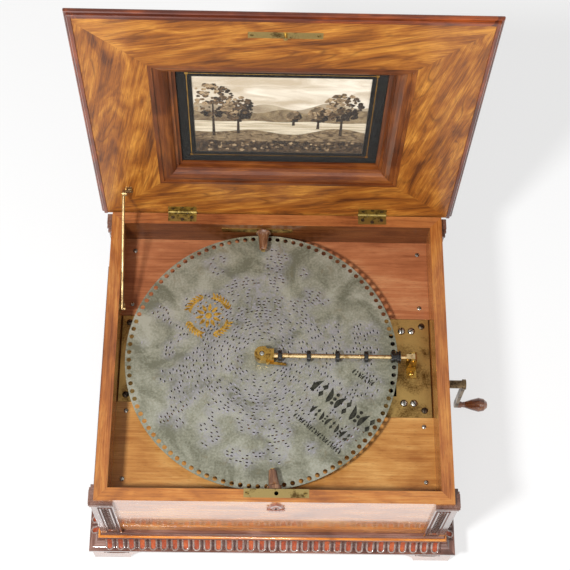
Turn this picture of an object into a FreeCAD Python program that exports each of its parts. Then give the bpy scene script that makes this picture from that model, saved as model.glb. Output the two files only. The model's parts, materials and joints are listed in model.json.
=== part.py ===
import FreeCAD, Part
import math
import os
from FreeCAD import Vector

# A table music box that plays a punched metal disc, with its lid open and its winding crank at the right.
# Millimetres. X runs to the right (crank side), Y to the back (hinge side), Z up.
# The origin lies on the floor, under the middle of the whole outline with the lid open.

# The tune disc
disc_radius = 199.0
disc_thick = 1.0
edge_hole_count = 99
edge_hole_radius = 3.4
edge_hole_inset = 5.5
stop_slot_length = 19.0
stop_slot_width = 4.0
stop_slot_inset = 15.0
stop_slot_angle = -40.0
spindle_radius = 3.3
running_gap = 0.05
rest_gap = 0.3

# The case: its hollow is the disc with these gaps round it
disc_gap_left = 10.5
disc_gap_right = 51.5
disc_gap_back = 3.5
disc_gap_front = 6.5
wall = 18.0
foot_height = 48.0
plinth_height = 34.5
panel_height = 160.5
plinth_reach = 25.0
base_board_thick = 10.0
base_board_lift = 4.0

# Corner posts and feet
post_width = 31.0
post_reach = 5.0
capital_reach = 8.0
capital_height = 11.0
capital_drop = 6.0
foot_inset = 3.5
foot_length = 84.0
foot_toe = 54.0
foot_thick = 30.0
foot_top_web = 7.0

# The deck and the bedplate
deck_drop = 53.0
deck_thick = 6.0
deck_gap = 0.5
bearer_width = 18.0
bearer_height = 25.0
bed_sink = 0.6
bed_side_gap = 1.5
bed_back = 76.0
bed_front_right = 79.0
bed_front_left = 60.0
bed_step_start = -70.0
bed_step_end = -20.0
disc_lift = 23.5

# The spindle
spindle_stem_radius = 9.0
spindle_flange_radius = 14.0
spindle_flange_thick = 3.0
spindle_height = 18.5
spindle_neck_radius = 2.0
spindle_neck_low = 2.4
spindle_neck_high = 5.0
spindle_chamfer = 1.2

# The pressure bar with its tongue, catch and rollers
roller_count = 5
roller_radius = 8.3
roller_width = 6.0
roller_first = 26.3
bar_core_radius = 2.0
bar_sleeve_first_radius = 3.6
bar_sleeve_last_radius = 2.6
bar_pivot_gap = 21.5
bar_block_radius = 5.0
bar_block_depth = 8.0
bar_pin_radius = 2.0
groove_depth = 2.7
groove_half_width = 2.8
rim_half_width = 5.6
edge_flange_gap = 0.8
edge_flange_width = 1.8
edge_flange_reach = 1.3
tongue_left = 11.0
tongue_right = 17.5
tongue_half_depth = 11.0
tongue_below = 3.9
tongue_above = 8.4
tongue_hole_gap = 0.5
catch_thick = 1.5
catch_pivot_x = 9.0
catch_pivot_y = -9.0
catch_pin_radius = 1.5
catch_tail_x = 34.0
catch_tail_y = -11.5
catch_half_width = 1.9
catch_nose_x = 0.5
catch_nose_y = -5.6
catch_nose_half_width = 1.2

# The bracket that carries the bar
bracket_width = 15.0
bracket_thick = 2.5
bracket_foot_front = 19.5
bracket_top_radius = 5.0

# The turned guide rollers at the disc's edge
bobbin_flange_radius = 11.0
bobbin_neck_radius = 8.0
bobbin_tip_radius = 5.8
bobbin_lap = 1.2
bobbin_cove_width = 4.5
bobbin_length = 31.0
bobbin_axle_radius = 2.0
bobbin_head_radius = 3.2
bobbin_head_thick = 1.2
bobbin_wall_gap = 2.2
bobbin_front_x = 0.0
guide_plate_thick = 1.0
guide_plate_back_width = 107.0
guide_plate_back_offset = -10.0
guide_plate_front_width = 24.0
guide_plate_height = 10.0

# Star wheels, their gantry and the two combs
star_count = 30
star_first = 30.0
star_end_gap = 18.5
star_points = 6
star_tip_radius = 6.0
star_root_radius = 3.2
star_thick = 1.6
star_sleeve_radius = 2.2
star_axle_radius = 1.2
gantry_half_depth = 5.0
gantry_base_thick = 5.0
gantry_post_width = 3.0
gantry_post_half_depth = 3.6
comb_tip_gap = 0.6
comb_tooth_thick = 1.6
comb_tooth_fill = 0.6
comb_root_inner = 42.0
comb_root_outer = 32.0
comb_back_edge = 58.0
comb_body_thick = 6.0
comb_boss_depth = 12.0

# The motor under the bedplate
motor_plate_thick = 3.0
motor_plate_out = 32.0
motor_plate_in = 69.0
motor_plate_front = 58.0
motor_plate_back = 92.0
motor_plate_low = 118.0
pillar_radius = 4.0
pillar_inset = 7.0
lug_width = 22.0
lug_thick = 4.0
lug_inner = 46.0
lug_outer = 68.0
sprocket_teeth = 22
sprocket_tooth_height = 2.2
sprocket_width = 3.2
sprocket_slot_gap = 3.0
gear_module = 1.5
great_teeth = 60
pinion_teeth = 12
train_module = 1.0
train_teeth = 60
fly_pinion_teeth = 10
gear_width = 4.0
pinion_overlap = 1.5
arbor_y = 0.6
train_rise = 10.0
fly_drop = 33.5
barrel_radius = 33.0
barrel_wall = 1.5
barrel_gap = 5.0
barrel_length = 34.0
arbor_radius = 6.0
journal_radius = 4.5
slim_arbor_radius = 3.0
fly_arbor_radius = 2.0
fly_radius = 17.0
fly_vane_thick = 1.0
fly_hub_radius = 4.0
ratchet_teeth = 24
ratchet_radius = 20.0
ratchet_depth = 3.5
ratchet_width = 4.0
ratchet_gap = 4.0
click_pivot_y = -32.0
click_pivot_z = 14.0
click_eye_radius = 5.0
click_pin_radius = 2.0
click_nose_width = 3.0
click_lift = 0.4
click_nose_angle = 195.0

# The crank
crank_stand_off = 44.0
crank_sleeve_radius = 6.3
crank_sleeve_gap = 1.5
crank_throw = 91.0
crank_arm_width = 10.0
crank_arm_thick = 5.0
crank_hub_radius = 8.0
crank_pin_radius = 2.5
crank_pin_length = 32.0
grip_length = 48.0
grip_neck_radius = 4.3
grip_ferrule_radius = 5.4
grip_ferrule_length = 6.0
grip_radius = 11.5
crank_socket_depth = 22.0
shaft_hole_gap = 1.0

# The lid
lid_open_angle = 92.0
lid_side_reach = 17.0
lid_front_reach = 23.0
lid_back_reach = 7.0
lid_seam = 0.2
lid_rail_thick = 20.0
lid_board_thick = 14.0
lid_field_height = 8.0
lid_field_inset = 34.0
lid_field_margin = 6.0
lid_edge_width = 9.5
lid_edge_proud = 1.2
lid_edge_height = 12.5
lid_bead_height = 9.4
lid_rail_slope = 12.0
lid_board_slope = 22.0
recess_width = 343.0
recess_depth = 286.0
recess_y = -0.8
recess_border = 32.5
glass_thick = 2.0
mat_thick = 1.5
print_thick = 1.0
picture_width = 237.0
picture_depth = 182.0
picture_lap = 9.0

# Hinges, lock and stay
hinge_spread = 143.0
hinge_length = 42.6
hinge_leaf_width = 16.0
hinge_leaf_thick = 1.8
hinge_knuckle_radius = 2.8
hinge_pin_radius = 1.3
hinge_axis_reach = 2.2
hinge_notch_gap = 0.3
knuckle_gap = 0.15
lock_x = 2.0
lock_plate_width = 90.0
lock_plate_depth = 12.5
lock_plate_thick = 1.5
lock_hole_radius = 3.0
lock_body_width = 64.0
lock_body_depth = 9.0
lock_body_height = 40.0
lock_bolt_length = 16.0
lock_bolt_height = 6.0
lock_bolt_depth = 4.0
lock_bolt_travel = 5.0
lock_cavity_gap = 0.1
strike_width = 92.0
strike_depth = 12.0
strike_peg_radius = 2.5
strike_peg_length = 6.0
keyhole_width = 26.0
keyhole_height = 40.0
keyhole_reach = 4.0
keyhole_drop = 5.0
keyhole_round = 2.0
keyhole_slot = 8.0
stay_wall_gap = 2.0
stay_radius = 2.0
stay_pivot_up = 61.0
stay_pivot_off = 7.0
stay_eye_radius = 4.5
stay_eye_half_width = 1.7
stay_knee_radius = 2.4
stay_pin_radius = 1.3
stay_ear_thick = 2.0
stay_plate_width = 10.0
stay_plate_length = 14.0
stay_plate_thick = 1.5
stay_fork_back = 149.0
stay_fork_drop = 8.0
stay_fork_length = 3.0
stay_fork_lip = 6.0
stay_hook_reach = 5.0
stay_tail = 5.5

# Screws
wood_screw_radius = 3.4
wood_screw_length = 14.0
wood_screw_height = 1.2
plate_screw_radius = 5.0
plate_screw_shank = 2.4
plate_screw_height = 2.6
screw_from_edge = 14.0

# Worked-out places
inner_width = disc_gap_left + 2 * disc_radius + disc_gap_right
inner_depth = disc_gap_front + 2 * disc_radius + disc_gap_back
half_x = inner_width / 2 + wall
half_y = inner_depth / 2 + wall
in_x = inner_width / 2
in_y = inner_depth / 2
disc_x = -in_x + disc_gap_left + disc_radius
disc_y = -in_y + disc_gap_front + disc_radius
plinth_top = foot_height + plinth_height
rim_z = plinth_top + panel_height
deck_z = rim_z - deck_drop
deck_under = deck_z - deck_thick
bed_z = deck_z - bed_sink
disc_under = deck_z + disc_lift
disc_top = disc_under + disc_thick
ring_radius = disc_radius - edge_hole_inset
bar_z = disc_top + rest_gap + roller_radius
bar_pivot_x = disc_x + disc_radius + bar_pivot_gap
roller_pitch = (ring_radius - roller_first) / (roller_count - 1)
star_z = disc_under - rest_gap - star_tip_radius
star_pitch = (ring_radius - star_end_gap - star_first) / (star_count - 1)
sprocket_x = disc_x + ring_radius
sprocket_radius = ring_radius * sprocket_teeth / edge_hole_count
sprocket_z = disc_under + disc_thick / 2 - sprocket_radius
plate_in_x = sprocket_x - motor_plate_in
plate_out_x = sprocket_x + motor_plate_out
great_distance = gear_module * (great_teeth + pinion_teeth) / 2
arbor_z = sprocket_z - math.sqrt(great_distance ** 2 - (disc_y - arbor_y) ** 2)
train_z = arbor_z + train_rise
train_y = arbor_y + math.sqrt(great_distance ** 2 - train_rise ** 2)
fly_distance = train_module * (train_teeth + fly_pinion_teeth) / 2
fly_z = train_z - fly_drop
fly_y = train_y + math.sqrt(fly_distance ** 2 - fly_drop ** 2)
plate_low_z = deck_under - motor_plate_low
barrel_x = plate_in_x + motor_plate_thick + barrel_gap
great_x = barrel_x + barrel_length
train_wheel_x = great_x + gear_width + 2 * pinion_overlap + 3.0
ratchet_x = plate_out_x - ratchet_gap - ratchet_width
crank_x = half_x + crank_stand_off
lid_z = rim_z + lid_seam
hinge_y = half_y + hinge_axis_reach
hinge_z = rim_z + lid_seam / 2
lock_y = -half_y + lock_plate_depth
stay_x = -in_x + stay_wall_gap + stay_radius
stay_pivot_y = half_y - stay_pivot_up
stay_pivot_z = lid_z - stay_pivot_off
stay_fork_y = half_y - stay_fork_back
stay_fork_z = rim_z - stay_fork_drop
AX = Vector(1, 0, 0)
AY = Vector(0, 1, 0)
AZ = Vector(0, 0, 1)


def box(x0, x1, y0, y1, z0, z1):
    return Part.makeBox(x1 - x0, y1 - y0, z1 - z0, Vector(x0, y0, z0))


def rod(radius, start, length, axis):
    return Part.makeCylinder(radius, length, Vector(*start), axis)


def prism(points, sweep):
    wire = Part.makePolygon([Vector(*p) for p in points + points[:1]])
    return Part.Face(wire).extrude(sweep)


def join(shapes):
    return shapes[0].fuse(shapes[1:]).removeSplitter()


def turned(profile, start, axis):
    # A solid of revolution: profile is (distance along the axis, radius), from the first end to the last.
    points = [Vector(r, 0, s) for s, r in profile]
    points = [Vector(0, 0, profile[0][0])] + points + [Vector(0, 0, profile[-1][0])]
    solid = Part.Face(Part.makePolygon(points + points[:1])).revolve(Vector(), AZ, 360)
    solid.Placement = FreeCAD.Placement(Vector(*start), FreeCAD.Rotation(AZ, axis))
    return solid


def flat_face(points):
    return Part.Face(Part.makePolygon(points + points[:1]))


def end_points(corner, profile):
    # A moulding's section at one end. The corner is (x, y, inward x, inward y), the profile (inset, z).
    x, y, step_x, step_y = corner
    return [Vector(x + step_x * inset, y + step_y * inset, z) for inset, z in profile]


def run(corner_a, corner_b, profile):
    # One straight length of moulding: its two end sections, and a flat face for each edge of the section.
    a = end_points(corner_a, profile)
    b = end_points(corner_b, profile)
    faces = [flat_face(a), flat_face(b)]
    for k in range(len(a)):
        n = (k + 1) % len(a)
        faces.append(flat_face([a[k], a[n], b[n], b[k]]))
    shell = Part.Shell(faces)
    shell.sewShape()
    solid = Part.Solid(shell)
    if solid.Volume < 0:
        solid.reverse()
    return solid


def rectangle_corners(reach_x, front, back):
    front_left = (-reach_x, front, 1, 1)
    front_right = (reach_x, front, -1, 1)
    back_right = (reach_x, back, -1, -1)
    back_left = (-reach_x, back, 1, -1)
    return front_left, front_right, back_right, back_left


def frame_sides(corners, profile):
    # Four mitred sides: front, right, back, left.
    return [run(corners[k], corners[(k + 1) % 4], profile) for k in range(4)]


def three_sides(reach_x, front, back, profile):
    # Mitred at the two front corners and cut square at the back: front, right, left.
    front_left, front_right, back_right, back_left = rectangle_corners(reach_x, front, back)
    back_right = (reach_x, back, -1, 0)
    back_left = (-reach_x, back, 1, 0)
    return [
        run(front_left, front_right, profile),
        run(front_right, back_right, profile),
        run(back_left, front_left, profile),
    ]


def on_lid(shape):
    # Lid pieces are drawn with the lid shut, then turned open about the hinge pins.
    opened = shape.copy()
    opened.rotate(Vector(0, hinge_y, hinge_z), AX, -lid_open_angle)
    return opened


def hinge_places():
    return [-hinge_spread, hinge_spread]


def hinge_cut(z0, z1):
    # The mortise for one row of leaves and the room round the knuckles.
    cuts = []
    for x in hinge_places():
        low, high = x - hinge_length / 2, x + hinge_length / 2
        cuts.append(box(low, high, hinge_y - hinge_leaf_width, half_y + lid_back_reach + 1, z0, z1))
        start = (low - knuckle_gap, hinge_y, hinge_z)
        cuts.append(rod(hinge_knuckle_radius + hinge_notch_gap, start, hinge_length + 2 * knuckle_gap, AX))
    return join(cuts)


def case_walls():
    section = [(0, foot_height), (wall, foot_height), (wall, rim_z), (0, rim_z)]
    corners = rectangle_corners(half_x, -half_y, half_y)
    front, right, back, left = frame_sides(corners, section)
    right = right.cut(rod(journal_radius + shaft_hole_gap, (in_x - 1, arbor_y, arbor_z), wall + 2, AX))
    back = back.cut(hinge_cut(rim_z - hinge_leaf_thick, rim_z + 1))
    plate = lock_plate_box()
    body = lock_body_block()
    shield_z = rim_z - keyhole_drop - keyhole_height / 2
    front = front.cut([plate.fuse(body), keyhole(shield_z)])
    return {"case_front": front, "case_right": right, "case_back": back, "case_left": left}


def base_board():
    low = foot_height + base_board_lift
    return box(-in_x, in_x, -in_y, in_y, low, low + base_board_thick)


def base_mouldings():
    # Fillet, step, bead and a long cove over a square foot, all on the outside of the walls.
    top = plinth_top
    low = foot_height
    profile = [(0, low), (0, top), (-9, top), (-9, top - 4), (-12.5, top - 5.5), (-12.5, top - 8)]
    bead = [(-12.5 - 2.2 * math.sin(a), top - 10.2 + 2.2 * math.cos(a)) for a in (0.8, 1.57, 2.35)]
    cove_top = top - 12.4
    cove_low = low + 5.0
    sweep = [(k / 4.0) * math.pi / 2 for k in range(5)]
    cove_out = plinth_reach - 1.5
    cove = [
        (-13 - (cove_out - 13) * (1 - math.cos(a)), cove_top - (cove_top - cove_low) * math.sin(a))
        for a in sweep
    ]
    foot = [(-plinth_reach, cove_low), (-plinth_reach, low)]
    pieces = three_sides(half_x, -half_y, half_y, profile + bead + cove + foot)
    return Part.makeCompound(pieces)


def corner_posts():
    # Each post wraps its front corner, and lies on the side wall alone at the back.
    solids = []
    levels = [
        (post_reach, plinth_top, rim_z - capital_drop - capital_height),
        (post_reach + 1.5, rim_z - capital_drop - capital_height, rim_z - capital_drop - 7.5),
        (capital_reach - 1, rim_z - capital_drop - 7.5, rim_z - capital_drop - 4),
        (capital_reach, rim_z - capital_drop - 4, rim_z - capital_drop),
    ]
    for side in (-1, 1):
        front, back = [], []
        for reach, low, high in levels:
            xs = sorted((side * half_x, side * (half_x + reach)))
            face_x = sorted((side * (half_x + reach), side * (half_x + post_reach - post_width)))
            front.append(box(face_x[0], face_x[1], -half_y - reach, -half_y, low, high))
            inner_y = -half_y - post_reach + post_width
            front.append(box(xs[0], xs[1], -half_y - reach, inner_y, low, high))
            back.append(box(xs[0], xs[1], half_y - post_width + post_reach, half_y, low, high))
        solids.append(join(front))
        solids.append(join(back))
    return Part.makeCompound(solids)


def bracket_outline():
    # One face of a bracket foot, from its outer edge: toe, hollow curve and the web under the moulding.
    start = Vector(foot_toe, 0, 0)
    bend = Vector(foot_toe + 0.30 * (foot_length - foot_toe), 0, 0.62 * (foot_height - foot_top_web))
    end = Vector(foot_length, 0, foot_height - foot_top_web)
    edges = [
        Part.LineSegment(Vector(0, 0, 0), start).toShape(),
        Part.Arc(start, bend, end).toShape(),
        Part.LineSegment(end, Vector(foot_length, 0, foot_height)).toShape(),
        Part.LineSegment(Vector(foot_length, 0, foot_height), Vector(0, 0, foot_height)).toShape(),
        Part.LineSegment(Vector(0, 0, foot_height), Vector(0, 0, 0)).toShape(),
    ]
    return Part.Face(Part.Wire(edges)).extrude(Vector(0, foot_thick, 0))


def bracket_feet():
    along_x = bracket_outline()
    along_y = bracket_outline().mirror(Vector(), AY)
    along_y.rotate(Vector(), AZ, 90)
    corner = join([along_x, along_y])
    reach = plinth_reach - foot_inset
    solids = []
    for side in (-1, 1):
        for front in (True, False):
            foot = corner if side < 0 else corner.mirror(Vector(), AX)
            foot = foot if front else foot.mirror(Vector(), AY)
            foot = foot.copy()
            foot.translate(Vector(side * (half_x + reach), -half_y - reach if front else half_y, 0))
            solids.append(foot)
    return Part.makeCompound(solids)


def keyhole_escutcheon():
    # A small turned-edge oval shield of wood with a keyhole through it.
    z = rim_z - keyhole_drop - keyhole_height / 2
    flat = Part.Wire(Part.Ellipse(Vector(), keyhole_height / 2, keyhole_width / 2).toShape())
    oval = Part.Face(flat).extrude(Vector(0, 0, keyhole_reach))
    oval.rotate(Vector(), AX, 90)
    oval.rotate(Vector(), AY, 90)
    oval.translate(Vector(lock_x, -half_y, z))
    return oval.cut(keyhole(z))


def keyhole(z):
    start_y = -half_y - keyhole_reach
    length = keyhole_reach + wall / 2
    hole = rod(keyhole_round, (lock_x, start_y, z), length, AY)
    half = keyhole_round / 2
    return join([hole, box(lock_x - half, lock_x + half, start_y, start_y + length, z - keyhole_slot, z)])


def lock_plate_box():
    x0 = lock_x - lock_plate_width / 2
    y0 = lock_y - lock_plate_depth / 2
    y1 = lock_y + lock_plate_depth / 2
    return box(x0, x0 + lock_plate_width, y0, y1, rim_z - lock_plate_thick, rim_z)


def lock_plate():
    hole = rod(lock_hole_radius, (lock_x, lock_y, rim_z - 5), 10, AZ)
    return lock_plate_box().cut(hole)


def lock_body_block():
    top = rim_z - lock_plate_thick
    x0 = lock_x - lock_body_width / 2
    y0 = lock_y - lock_body_depth / 2
    y1 = lock_y + lock_body_depth / 2
    return box(x0, x0 + lock_body_width, y0, y1, top - lock_body_height, top)


def lock_bolt_box(gap):
    # The bolt, or the room for it and its travel when a gap is given.
    x0 = lock_x + strike_peg_radius + 3.0
    top = rim_z - lock_plate_thick - strike_peg_length
    travel = lock_bolt_travel if gap else 0.0
    return box(
        x0 - travel - gap,
        x0 + lock_bolt_length + gap,
        lock_y - lock_bolt_depth / 2 - gap,
        lock_y + lock_bolt_depth / 2 + gap,
        top - lock_bolt_height - gap,
        top + gap,
    )


def lock_body():
    well = rod(lock_hole_radius, (lock_x, lock_y, rim_z - lock_plate_thick), lock_body_height / 2, -AZ)
    return lock_body_block().cut(well.fuse(lock_bolt_box(lock_cavity_gap)))


def hinge_leaves(z0, z1, own_middle):
    # One leaf per hinge: a plate and its own knuckles. The case's leaves hold the pins.
    solids = []
    third = hinge_length / 3
    for x in hinge_places():
        start = x - hinge_length / 2
        inner_y = hinge_y - hinge_leaf_width
        clear_y = hinge_y - hinge_knuckle_radius - hinge_notch_gap
        pieces = [box(start, start + hinge_length, inner_y, clear_y, z0, z1)]
        for k in range(3):
            if (k == 1) != own_middle:
                continue
            low = start + k * third + (knuckle_gap if k else 0)
            high = start + (k + 1) * third - (knuckle_gap if k < 2 else 0)
            pieces.append(box(low, high, inner_y, hinge_y, z0, z1))
            pieces.append(rod(hinge_knuckle_radius, (low, hinge_y, hinge_z), high - low, AX))
        leaf = join(pieces)
        if own_middle:
            bore = rod(hinge_pin_radius + running_gap, (start - 1, hinge_y, hinge_z), hinge_length + 2, AX)
            solids.append(leaf.cut(bore))
        else:
            solids.append(join([leaf, rod(hinge_pin_radius, (start, hinge_y, hinge_z), hinge_length, AX)]))
    return Part.makeCompound(solids)


def lid_inner_corners(inset=0):
    # The rails' outline, or one that is smaller by the inset at the front and the sides.
    reach_x = half_x + lid_side_reach - lid_edge_width - inset
    front = -half_y - lid_front_reach + lid_edge_width + inset
    return rectangle_corners(reach_x, front, half_y + lid_back_reach)


def rail_slope_cut():
    # What the lid's sloping shoulder takes off the rails' upper outer edges.
    spare = 1.0
    section = [(-spare, lid_edge_height), (0, lid_edge_height), (lid_rail_slope, lid_rail_thick)]
    section += [(lid_rail_slope, lid_rail_thick + spare), (-spare, lid_rail_thick + spare)]
    profile = [(inset, lid_z + z) for inset, z in section]
    reach_x = half_x + lid_side_reach - lid_edge_width
    front = -half_y - lid_front_reach + lid_edge_width
    return join(three_sides(reach_x, front, half_y + lid_back_reach + spare, profile))


def lid_rails():
    # Four mitred rails from the edge moulding in to the recess, cut for the hinges and the strike plate.
    outer = lid_inner_corners()
    inner_x = recess_width / 2
    inner = rectangle_corners(inner_x, recess_y - recess_depth / 2, recess_y + recess_depth / 2)
    slope = rail_slope_cut()
    solids = []
    for k in range(4):
        a, b = k, (k + 1) % 4
        flat = [outer[a], outer[b], inner[b], inner[a]]
        rail = prism([(p[0], p[1], lid_z) for p in flat], Vector(0, 0, lid_rail_thick))
        solids.append(rail.cut(slope))
    solids[0] = solids[0].cut(strike_box())
    solids[2] = solids[2].cut(hinge_cut(lid_z - 1, lid_z + hinge_leaf_thick))
    return Part.makeCompound(solids)


def lid_edge_mouldings():
    # A proud fillet, a quirk and a bead along the lid's edge, with the foot of the sloping shoulder on top.
    bead = lid_bead_height
    section = [(lid_edge_width, 0), (lid_edge_width - 0.6, -lid_edge_proud), (4.6, -lid_edge_proud)]
    section += [(3.8, 0), (3.8, 2.2), (1.6, 2.2), (0.4, 3.4), (0, bead / 2 + 0.9), (0.4, bead - 1.8)]
    section += [(1.8, bead - 0.4), (3.8, bead), (lid_edge_width, lid_edge_height)]
    profile = [(inset, lid_z + z) for inset, z in section]
    back = half_y + lid_back_reach
    return Part.makeCompound(three_sides(half_x + lid_side_reach, -half_y - lid_front_reach, back, profile))


def recess_mouldings():
    # A stepped ovolo that leads down to the picture, in four mitred lengths.
    deep = lid_rail_thick
    border = recess_border
    round_part = []
    for k in range(5):
        a = k / 4.0 * math.pi / 2
        round_part.append((5.5 + (border - 13.5) * math.sin(a), 2.0 + 11.0 * (1 - math.cos(a))))
    section = [(0, deep), (0, 0), (5.5, 0)] + round_part
    section += [(border - 4.5, 13.0), (border - 4.5, 16.5), (border, 17.5), (border, deep)]
    profile = [(inset, lid_z + z) for inset, z in section]
    low_y = recess_y - recess_depth / 2
    high_y = recess_y + recess_depth / 2
    return Part.makeCompound(frame_sides(rectangle_corners(recess_width / 2, low_y, high_y), profile))


def picture_sheet(low, high, width, depth):
    z = lid_z + lid_rail_thick
    return box(-width / 2, width / 2, recess_y - depth / 2, recess_y + depth / 2, z + low, z + high)


def picture_opening():
    return recess_width - 2 * recess_border, recess_depth - 2 * recess_border


def picture_glass():
    width, depth = picture_opening()
    return picture_sheet(0, glass_thick, width + 2 * picture_lap, depth + 2 * picture_lap)


def picture_mat():
    width, depth = picture_opening()
    sheet = picture_sheet(glass_thick, glass_thick + mat_thick, width + 2 * picture_lap, depth + 2 * picture_lap)
    return sheet.cut(picture_sheet(glass_thick - 1, glass_thick + mat_thick + 1, picture_width, picture_depth))


def picture_print():
    low = glass_thick + mat_thick
    width, depth = picture_opening()
    return picture_sheet(low, low + print_thick, width + 2 * picture_lap, depth + 2 * picture_lap)


def lid_board():
    # The board over the rails goes on with their slope. It has a pocket for the picture and a raised field.
    low = lid_z + lid_rail_thick
    high = low + lid_board_thick
    shelf = lid_rail_slope + lid_board_slope
    bottom = [Vector(c[0], c[1], low) for c in lid_inner_corners(lid_rail_slope)]
    top = [Vector(c[0], c[1], high) for c in lid_inner_corners(shelf)]
    inset = lid_field_inset
    margin = lid_field_margin
    corners = lid_inner_corners(shelf)
    foot = [Vector(c[0] + c[2] * margin, c[1] + c[3] * margin, high) for c in corners]
    crown = [Vector(c[0] + c[2] * inset, c[1] + c[3] * inset, high + lid_field_height) for c in corners]
    board = Part.makeLoft([Part.makePolygon(points + points[:1]) for points in (bottom, top)], True, True)
    field = Part.makeLoft([Part.makePolygon(points + points[:1]) for points in (foot, crown)], True, True)
    width, depth = picture_opening()
    thick = glass_thick + mat_thick + print_thick
    pocket = picture_sheet(0, thick, width + 2 * picture_lap, depth + 2 * picture_lap)
    return join([board, field]).cut(pocket)


def strike_box():
    x0 = lock_x - strike_width / 2
    y0 = lock_y - strike_depth / 2
    return box(x0, x0 + strike_width, y0, y0 + strike_depth, lid_z, lid_z + lock_plate_thick)


def strike_plate():
    peg = rod(strike_peg_radius, (lock_x, lock_y, lid_z), strike_peg_length, -AZ)
    return join([strike_box(), peg])


def stay_bracket():
    # A foot on the lid, an ear and the pin on which the stay's eye turns.
    ear_x = stay_x + stay_radius + rest_gap
    plate_low = lid_z - stay_plate_thick
    y0 = stay_pivot_y - stay_plate_length / 2
    plate = box(ear_x, ear_x + stay_plate_width, y0, y0 + stay_plate_length, plate_low, lid_z)
    ear_low = stay_pivot_z
    ear = box(ear_x, ear_x + stay_ear_thick, stay_pivot_y - 4, stay_pivot_y + 4, ear_low, lid_z)
    nose = rod(4.0, (ear_x, stay_pivot_y, stay_pivot_z), stay_ear_thick, AX)
    pin = rod(stay_pin_radius, (ear_x, stay_pivot_y, stay_pivot_z), 2 * stay_radius + rest_gap + 0.8, -AX)
    return join([plate, ear, nose, pin])


def opened_stay_pivot():
    turn = math.radians(-lid_open_angle)
    y = stay_pivot_y - hinge_y
    z = stay_pivot_z - hinge_z
    return (
        hinge_y + y * math.cos(turn) - z * math.sin(turn),
        hinge_z + y * math.sin(turn) + z * math.cos(turn),
    )


def stay_rod():
    # An eye on the lid's pin, a straight wire down to the guide on the wall, and a hook turned inwards.
    pivot_y, pivot_z = opened_stay_pivot()
    reach_y = stay_fork_y - pivot_y
    reach_z = stay_fork_z - pivot_z
    length = math.hypot(reach_y, reach_z)
    along = Vector(0, reach_y / length, reach_z / length)
    start = Vector(stay_x, pivot_y, pivot_z)
    eye_start = (stay_x - stay_eye_half_width, pivot_y, pivot_z)
    eye = rod(stay_eye_radius, eye_start, 2 * stay_eye_half_width, AX)
    wire_length = length + stay_tail
    wire = Part.makeCylinder(stay_radius, wire_length, start, along)
    bend = start + along * wire_length
    knee = Part.makeSphere(stay_knee_radius, bend)
    hook = Part.makeCylinder(stay_radius, stay_hook_reach, bend, AX)
    hole = rod(stay_pin_radius + running_gap, (stay_x - 5, pivot_y, pivot_z), 10, AX)
    return join([eye, wire, knee, hook]).cut(hole)


def stay_fork():
    # A plate on the wall with an open saddle that the stay lies in.
    pivot_y, pivot_z = opened_stay_pivot()
    slope = (pivot_z - stay_fork_z) / (pivot_y - stay_fork_y)
    under_wire = stay_radius * math.sqrt(1 + slope ** 2) + slope * stay_fork_length / 2
    floor = stay_fork_z - under_wire - rest_gap
    y0 = stay_fork_y - stay_fork_length / 2
    y1 = stay_fork_y + stay_fork_length / 2
    lip_x = stay_x + stay_radius + 0.7
    thick = stay_plate_thick
    plate = box(-in_x, -in_x + thick, stay_fork_y - 6, stay_fork_y + 6, floor - 12, floor + 2)
    saddle = box(-in_x, lip_x + thick, y0, y1, floor - thick, floor)
    lip = box(lip_x, lip_x + thick, y0, y1, floor - thick, floor + stay_fork_lip)
    return join([plate, saddle, lip])


def bed_outline(gap):
    # The bedplate's plan. The deck boards use the same plan with a gap.
    left = -in_x + bed_side_gap - gap
    right = in_x - bed_side_gap + gap
    back = bed_back + gap
    return [
        (left, back),
        (left, -bed_front_left - gap),
        (bed_step_start, -bed_front_left - gap),
        (bed_step_end, -bed_front_right - gap),
        (right, -bed_front_right - gap),
        (right, back),
    ]


def deck_back():
    return box(-in_x, in_x, bed_back + deck_gap, in_y, deck_under, deck_z)


def deck_front():
    bed = bed_outline(deck_gap)
    edge = [(-in_x, bed[1][1]), bed[2], bed[3], (in_x, bed[4][1])]
    points = [(-in_x, -in_y)] + edge + [(in_x, -in_y)]
    return prism([(x, y, deck_under) for x, y in points], Vector(0, 0, deck_thick))


def deck_bearers():
    low = deck_under - bearer_height
    left = box(-in_x, -in_x + bearer_width, -in_y, in_y, low, deck_under)
    right = box(in_x - bearer_width, in_x, -in_y, in_y, low, deck_under)
    return Part.makeCompound([left, right])


def deck_screw_places():
    x = in_x - screw_from_edge
    back = [(bed_back + deck_gap + screw_from_edge + 4), in_y - screw_from_edge - 6]
    rows = [(side * x, y) for side in (-1, 1) for y in back]
    rows += [(side * x, -in_y + 2 * screw_from_edge) for side in (-1, 1)]
    rows += [(-x, -bed_front_left - screw_from_edge), (x, -bed_front_right - screw_from_edge)]
    return rows


def bed_screw_places():
    x = in_x - 12.0
    inset = 11.0
    return [(-x, bed_back - inset), (-x, -bed_front_left + inset), (x, bed_back - inset), (x, -bed_front_right + inset)]


def lug_screw_places():
    y = (lug_inner + lug_outer) / 2
    near = plate_out_x - lug_width + plate_screw_radius
    far = plate_out_x - plate_screw_shank
    return [(x, side * y) for side in (-1, 1) for x in (near, far)]


def wood_screw(x, y, top):
    head = turned([(-2.0, 1.6), (0, wood_screw_radius), (wood_screw_height, 1.2)], (x, y, top), AZ)
    shank = rod(1.6, (x, y, top - wood_screw_length), wood_screw_length, AZ)
    return join([head, shank])


def wood_screws(places, top):
    return Part.makeCompound([wood_screw(x, y, top) for x, y in places])


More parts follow.
